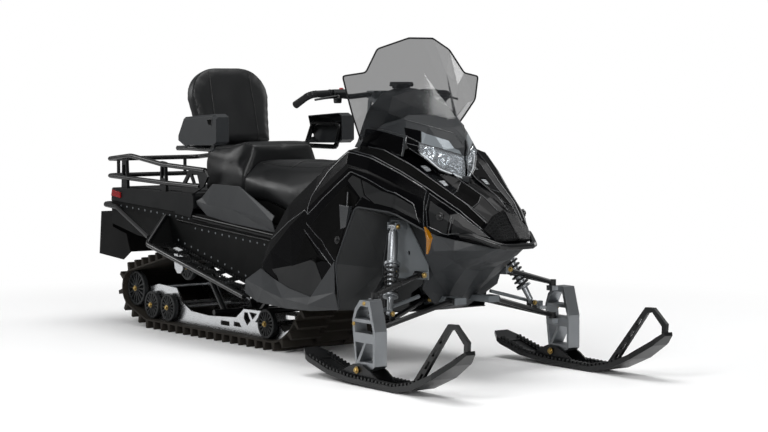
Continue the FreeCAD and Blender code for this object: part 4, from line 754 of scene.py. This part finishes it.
ribX = np.arange(ski["ribStart"], ski["ribEnd"], ski["ribPitch"])
skiRibs = joined([skiRib(x, sides) for x in ribX for sides in ski["ribSides"]])
skiBolts = joined([boltPart(*bolt) for bolt in ski["bolts"]])
for name, (points, faces), material, slot in (("skiRibs", skiRibs, skiPlastic, "ski_plastic"),
                                              ("skiBolts", skiBolts, zincPlate, "grey_steel")):
    addPiece(name + "Left", (points, faces), material, body="ski_left", slot=slot)
    addPiece(name + "Right", (points * (1, -1, 1), faces), material, body="ski_right", slot=slot)
print("stage: skis")

# Moulded sheets of the body: the side panel from three lines along it, the hood from its middle and its edge
panel = {
    "top": [(-23, 352, 424), (32, 345, 521), (183, 338, 694), (408, 332, 832), (642, 330, 947),
            (780, 315, 925), (923, 262, 860), (1055, 212, 788)],
    "crease": [(-12, 356, 408), (70, 362, 460), (235, 365, 560), (440, 362, 690), (655, 345, 840),
               (790, 332, 815), (930, 300, 770), (1070, 245, 715)],
    "foot": [(0, 360, 392), (120, 376, 356), (269, 386, 323), (443, 392, 300), (610, 380, 465),
             (715, 348, 714), (940, 316, 697), (1086, 248, 624)],
    "swell": [0, 3, 7, 9, 9, 8, 6, 0],
    "sink": [0, 4, 10, 13, 13, 10, 6, 0],
}
hood = {
    "middle": [(642, 0, 975), (780, 0, 955), (923, 0, 890), (1050, 0, 815), (1206, 0, 757), (1290, 0, 712)],
    "edge": [(642, 328, 950), (780, 313, 928), (923, 260, 863), (1055, 210, 791), (1206, 161, 705),
             (1302, 121, 632)],
    "profile": [(0.16, 0.0), (0.22, 13.0), (0.42, -6.0), (0.68, -4.0), (0.78, 13.0), (1.0, 0.0)],
    "fade": [0.2, 0.7, 1.0, 1.0, 0.8, 0.2],
    "crown": [14, 14, 12, 10, 9, 8],
}


# A row between two others, each point pushed sideways by its own amount
def rowBetween(first, second, share, push):
    row = first + (second - first) * share
    row[:, 1] += push
    return row


# Rows of the hood: a share of the way from middle to edge, raised by crown * 4 * share * (1 - share) and
# by ridge * fade
def hoodRows():
    middle, edge, fade, crown = (np.array(hood[key], float) for key in ("middle", "edge", "fade", "crown"))
    share, rise = np.array(hood["profile"]).T[:, :, None]
    rows = middle + (edge - middle) * share[:, :, None]
    rows[:, :, 2] += crown * 4 * share * (1 - share) + rise * fade
    return rows


top, crease, foot, swell, sink = (np.array(line, float) for line in panel.values())
bodyHeart = (600.0, 0.0, 560.0)
panelSheet = sheetOf(bodyHeart, [
    top, rowBetween(top, crease, 0.52, swell), rowBetween(top, crease, 0.66, -0.4 * sink),
    rowBetween(crease, foot, 0.55, -sink), foot])
hoodSheet = sheetOf(bodyHeart, hoodRows())
noseSideSheet = sheetOf(bodyHeart, [
    [(1055.5, 212, 788), (1130, 187, 744), (1206, 163, 701), (1275, 133, 650), (1336, 105, 602)],
    [(1070.5, 245, 715), (1150, 222, 685), (1215, 185, 645), (1280, 145, 615), (1343, 100, 590)],
    [(1086.5, 248, 624), (1127, 226, 607), (1182, 171, 589), (1262, 121, 573), (1340, 79, 559)]])
noseSheet = sheetOf(bodyHeart, [
    [(1290, 0, 712), (1335, 0, 655), (1388, 0, 598), (1372, 0, 568)],
    [(1292, 60, 690), (1330, 65, 640), (1375, 62, 592), (1362, 58, 566)],
    [(1302, 120, 633), (1325, 110, 613), (1345, 98, 592), (1342, 79, 562)]])

# Facets, meshes and painted-highlight beads on those sheets, in (u, v)
addPairs({
    "panelRecesses": (mattInset, "gloss_body", patchParts(
        panelSheet, [(3.97, 2.3), (4.75, 2.9), (4.02, 3.86), (2.72, 2.36)],
        [(2.6, 2.42), (3.82, 3.88), (3.03, 2.98), (2.2, 2.94)])),
    "panelFacets": (dullPanel, "gloss_body", [
        *patchParts(panelSheet, [(4.04, 2.25), (4.68, 2.33), (5.3, 3.4), (4.82, 2.92)],
                    [(4.76, 2.36), (6.6, 2.55), (6.9, 3.4), (5.42, 3.5)],
                    [(0.9, 3.02), (2.95, 3.02), (3.45, 3.95), (1.3, 3.95)]),
        *patchParts(noseSideSheet, [(0.25, 0.4), (1.5, 0.55), (1.5, 1.7), (0.3, 1.7)],
                    [(1.75, 0.6), (3.2, 0.8), (2.9, 1.5), (1.75, 1.65)])]),
    # Pale beads along the panels' borders and creases: painted highlight lines
    "panelHighlightBeads": (highlightBead, "gloss_body", [
        *beadParts(
            panelSheet,
            (2.4, (2.64, 2.1), (2.88, 1.0), (3.4, 0.4), (3.9, 0.12), (4.3, 0.06), (6.94, 0.05), (6.94, 3.9)),
            (2.2, (1.15, 0.15), (2.66, 2.12), (3.96, 2.12), (6.62, 2.42), (6.82, 3.5)),
            (2.0, (2.62, 2.25), (3.25, 2.87), (3.97, 3.93)), (2.0, (2.56, 2.34), (3.17, 2.98), (3.86, 3.95))),
        *beadParts(noseSideSheet, (2.0, (0.1, 1.9), (0.08, 0.1), (3.95, 0.1)),
                   (2.0, (0.2, 1.75), (1.6, 1.75), (1.62, 0.5)), (2.0, (1.62, 1.7), (3.2, 0.85)))]),
    "noseMeshes": (noseMesh, "black_plastic", patchParts(
        noseSheet, [(0.08, 0.05), (2.2, 0.08), (2.05, 1.85), (0.08, 1.9)])),
    "ventMeshes": (ventMesh, "black_plastic", [
        patchPart(hoodSheet, [(near, 2.05), (far, 2.05), (far, 2.75), (near, 2.75)], lift=-5.0)
        for near, far in ((1.75, 2.3), (2.6, 3.05), (3.25, 3.7))]),
    # Pale beads along the hood's ridges and edges: painted highlight lines
    "hoodHighlightBeads": (highlightBead, "gloss_body", beadParts(
        hoodSheet, (1.6, (0.6, 1.0), (4.9, 1.0)), (2.2, (0.3, 4.0), (4.95, 4.0)),
        (2.2, (0.2, 4.93), (4.97, 4.93)), (1.4, (1.6, 3.0), (4.9, 3.0)), (1.6, (3.1, 1.1), (3.4, 3.0)),
        (1.6, (3.9, 1.1), (4.2, 3.9)))),
    "hoodFacets": (mattInset, "gloss_body", [
        patchPart(hoodSheet, [(3.12, 1.05), (3.88, 1.05), (4.15, 2.9), (3.42, 2.9)]),
        patchPart(hoodSheet, [(0.3, 4.08), (4.9, 4.08), (4.9, 4.85), (0.3, 4.85)], steps=48)]),
})
print("stage: facets and beads")

# Body trim: lips of the suspension bays, side reflectors, sill strips, latches, pockets of the handle guards,
# clasps with their rods, and bolts of the arms
addPairs({
    "bayLips": (greyPlastic, "grey_plastic", [tubePart(roundedPath(line, bend), 4.0, 10) for bend, *line in (
        (30.0, (640, 381, 272), (612, 379, 462), (716, 347, 712), (940, 315, 695), (1080, 250, 624)),
        (24.0, (742, 211, 262), (727, 211, 440), (782, 211, 664), (932, 211, 660), (1040, 211, 616)))]),
    "amberReflectors": (amberLens, "lamp_lens", [platePart(
        [(1082, 641), (1096, 630), (1116, 596), (1112, 552), (1104, 528), (1098, 530), (1100, 590)],
        1, 236, 258)], 1.5),
    "sillStrips": (glossBody, "gloss_body", [
        beamPart((-745, 281.5, 590), (-15, 281.5, 537), 6.0, 11.0),
        beamPart((-900, 281.5, 570), (-15, 281.5, 514), 5.0, 4.0)]),
    "panelLatches": (blackTube, "black_tube", [
        turnedPart(place, facing, [(-4, 17), (3, 17), (5, 15), (5, 9), (9, 8), (10, 4)])
        for place, facing in (((1150, 224, 685), (0.45, 0.86, 0.25)), ((606, 364, 563), (0.1, 1.0, 0.15)))]),
    "guardPockets": (mattInset, "grey_plastic", [
        platePart([(-376, 1074), (-424, 1070), (-412, 1046), (-388, 1040)], 1, 391, 394.5)]),
    # Pale bead round the pocket: a painted highlight line
    "guardPocketHighlightBeads": (highlightBead, "grey_plastic", [tubePart([(x, 394, z) for x, z in (
        (-376, 1074), (-424, 1070), (-412, 1046), (-388, 1040), (-377, 1072))], 1.4, 8)]),
    # Clasps in the pale bead material: painted highlights on their edges
    "panelClasps": (highlightBead, "black_tube", [
        platePart([(622, 716), (690, 712), (668, 622), (630, 612)], 1, 344, 366),
        tubePart([(658, 346, 772), (660, 350, 745), (660, 352, 710)], 3.2, 10)], 4.0),
    "armBolts": (zincPlate, "grey_steel", [boltPart(place, (1, 0, 0), size) for size, *place in (
        (12, 1053, 232, 436), (12, 839, 232, 440), (12, 938, 115, 318), (11, 909, 262, 632),
        (11, 1037, 384, 282))]),
})
print("stage: trim")

# Padded pieces: lengths in millimetres
pad = {
    "pads": {"driver_seat": "driverSeat", "passenger_seat": "passengerSeat", "backrest": "backrestPad"},
    "voxel": 6.0, "shrink": 3.0, "travel": 7.0, "frames": 16,
    "cloth": {"quality": 4, "use_pressure": True, "uniform_pressure_force": 2.0, "tension_stiffness": 40,
              "compression_stiffness": 40, "bending_stiffness": 10},
    "rounding": 14, "settling": 14, "smoothing": 0.6,
}


def meshPoints(mesh):
    flat = np.empty(len(mesh.vertices) * 3)
    mesh.vertices.foreach_get("co", flat)
    return flat.reshape(-1, 3)


# Adds a smoothing and applies all modifiers of the piece
def smoothed(piece, name):
    smooth = piece.modifiers.new(name, "SMOOTH")
    smooth.factor = pad["smoothing"]
    smooth.iterations = pad[name]
    bpy.context.view_layer.objects.active = piece
    for modifier in list(piece.modifiers):
        bpy.ops.object.modifier_apply(modifier=modifier.name)
    return meshPoints(piece.data)


# The skin after a run as cloth under a light pressure, each point's way capped at the travel
def swollen(piece, rest):
    cloth = piece.modifiers.new("cloth", "CLOTH")
    for key, value in pad["cloth"].items():
        setattr(cloth.settings, key, value)
    cloth.settings.effector_weights.gravity = 0
    for step in range(1, pad["frames"] + 1):
        bpy.context.scene.frame_set(step)
    after = meshPoints(piece.evaluated_get(bpy.context.evaluated_depsgraph_get()).data)
    piece.modifiers.remove(cloth)
    bpy.context.scene.frame_set(1)
    distance = np.linalg.norm(after - rest, axis=1, keepdims=True)
    return rest + (after - rest) * np.minimum(1.0, pad["travel"] * mm / np.maximum(distance, 1e-9))


# A pad: the CAD solid is copied, rebuilt as an even skin, rounded, shrunk a little, blown up as cloth,
# smoothed, and kept in the room that the solid holds
def paddedPiece(node, name):
    mesh = frame["nodes"][node].data.copy()
    mesh.name = name
    shape = bmesh.new()
    shape.from_mesh(mesh)
    bmesh.ops.remove_doubles(shape, verts=shape.verts, dist=0.0002)
    shape.to_mesh(mesh)
    shape.free()
    piece = addObject(name, mesh)
    skin = piece.modifiers.new("skin", "REMESH")
    skin.mode = "VOXEL"
    skin.voxel_size = pad["voxel"] * mm
    points = smoothed(piece, "rounding")
    low, high = (np.array(corner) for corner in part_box(node))
    middle, half = (low + high) / 2, (high - low) / 2
    points = middle + (points - middle) * (1 - pad["shrink"] * mm / half)
    piece.data.vertices.foreach_set("co", points.ravel())
    points = swollen(piece, points)
    piece.data.vertices.foreach_set("co", points.ravel())
    points = smoothed(piece, "settling")
    piece.data.vertices.foreach_set("co", np.clip(points, low, high).ravel())
    piece.data.update()
    piece.data.materials.clear()
    piece.data.materials.append(seatVinyl)
    piece.data.polygons.foreach_set("use_smooth", np.ones(len(piece.data.polygons), bool))
    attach(piece, "chassis")
    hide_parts(node)
    print("stage: pad", node)
    return piece


pads = {node: paddedPiece(node, name) for node, name in pad["pads"].items()}

# Piping: for each pad the direction in which it is laid, and the lines
pipe = {
    "radius": 2.4, "bend": 30.0,
    "lines": {
        "backrest": ((-1, 0, 0), [
            [(-500, y, 960), (-500, y, 1150), (-500, y * 0.96, 1300)] for y in (-118, 118)]),
        "driver_seat": ((0, 0, -1), [
            *([(-360, y * 1.1, 1100), (-150, y * 1.15, 1100), (60, y, 1100), (300, y * 0.8, 1100)]
              for y in (-138, 138)),
            *([(x, -160, 1100), (x + 12, 0, 1100), (x, 160, 1100)] for x in (-60, 180))]),
        "passenger_seat": ((0, 0, -1), [
            [(-740, y, 1100), (-560, y * 1.04, 1100), (-400, y * 0.94, 1100)] for y in (-172, 172)]),
    },
}


# A line of points is cast onto the pad along one direction, and a thin tube is laid there half sunk
def pipingPart(piece, points, direction):
    tree = BVHTree.FromObject(piece, bpy.context.evaluated_depsgraph_get())
    even = evenPoints(roundedPath(points, pipe["bend"], 12), 90)
    hits = [tree.ray_cast(Vector(point) * mm, Vector(direction))[0] for point in even]
    laid = np.array([tuple(hit) for hit in hits if hit is not None]) / mm
    return tubePart(laid, pipe["radius"], 8)


piping = [pipingPart(pads[node], line, direction)
          for node, (direction, lines) in pipe["lines"].items() for line in lines]
addPiece("seatPiping", joined(piping), pipingVinyl, slot="seat_vinyl")
print("stage: piping")


# 1 for what the camera sees straight or through clear sheet, 0 for all other rays
def seenShare(tree):
    rays = addNode(tree, "LightPath")
    links = {0: rays.outputs["Is Camera Ray"], 1: rays.outputs["Is Transmission Ray"]}
    return addNode(tree, "Math", {"operation": "MAXIMUM"}, {}, links).outputs["Value"]


# Two shaders by a share, into the tree's output
def addMix(tree, kind, share, first, second):
    mix = addNode(tree, "MixShader", {}, {}, {0: share, 1: first.outputs[0], 2: second.outputs[0]})
    tree.links.new(mix.outputs[0], addNode(tree, kind).inputs["Surface"])


# Floor: pale paper that takes the object's shadow near it and is plain white to the eye further out
def paperMaterial():
    material = bpy.data.materials.new("seamlessPaper")
    tree = emptyTree(material)
    paper = addNode(tree, "BsdfDiffuse", {}, {"Color": linear(studio["paper"])})
    white = addNode(tree, "Emission", {}, {"Color": (1, 1, 1, 1), "Strength": 1.0})
    place = addNode(tree, "TexCoord").outputs["Object"]
    reach = addNode(tree, "VectorMath", {"operation": "LENGTH"}, {}, {0: place})
    near, far = studio["floorFade"]
    fade = addNode(tree, "MapRange", {"interpolation_type": "SMOOTHSTEP"},
                   {"From Min": near, "From Max": far}, {"Value": reach.outputs["Value"]})
    share = addNode(tree, "Math", {"operation": "MULTIPLY"}, {},
                    {0: fade.outputs["Result"], 1: seenShare(tree)})
    addMix(tree, "OutputMaterial", share.outputs["Value"], paper, white)
    return material


def buildFloor():
    half, low = studio["floorHalf"], -studio["floorDrop"]
    corners = [(-half, -half, low), (half, -half, low), (half, half, low), (-half, half, low)]
    mesh = bpy.data.meshes.new("floor")
    mesh.from_pydata(corners, [], [(0, 1, 2, 3)])
    mesh.materials.append(paperMaterial())
    addObject("floor", mesh)


def buildLamps():
    target = Vector(studio["target"])
    for name, place, size, power in studio["lamps"]:
        light = bpy.data.lights.new(name, "AREA")
        light.shape = "SQUARE"
        light.size = size
        light.energy = power
        holder = addObject(name, light)
        holder.location = place
        holder.rotation_euler = (target - Vector(place)).to_track_quat("-Z", "Y").to_euler()


# Surroundings: soft grey light for the machine, plain white to the eye
def buildWorld():
    world = bpy.data.worlds.new("studio")
    bpy.context.scene.world = world
    tree = emptyTree(world)
    soft = addNode(tree, "Background", {},
                   {"Color": linear(studio["sky"]), "Strength": studio["skyStrength"]})
    white = addNode(tree, "Background", {}, {"Color": (1, 1, 1, 1), "Strength": 1.0})
    addMix(tree, "OutputWorld", seenShare(tree), soft, white)


def buildCamera():
    camera = bpy.data.cameras.new("photoCamera")
    camera.sensor_width = view["sensor"]
    camera.lens = view["lens"]
    camera.clip_end = view["farClip"]
    holder = addObject("photoCamera", camera)
    holder.location = view["place"]
    tilt, turn = math.radians(90 + view["pitch"]), math.radians(view["heading"] - 90)
    holder.rotation_euler = Euler((tilt, 0.0, turn), "XYZ")
    holder.rotation_euler.rotate_axis("Z", math.radians(view["roll"]))
    bpy.context.scene.camera = holder


buildFloor()
buildLamps()
buildWorld()
buildCamera()
bpy.context.scene.view_settings.view_transform = "Standard"
print("stage: studio and camera")
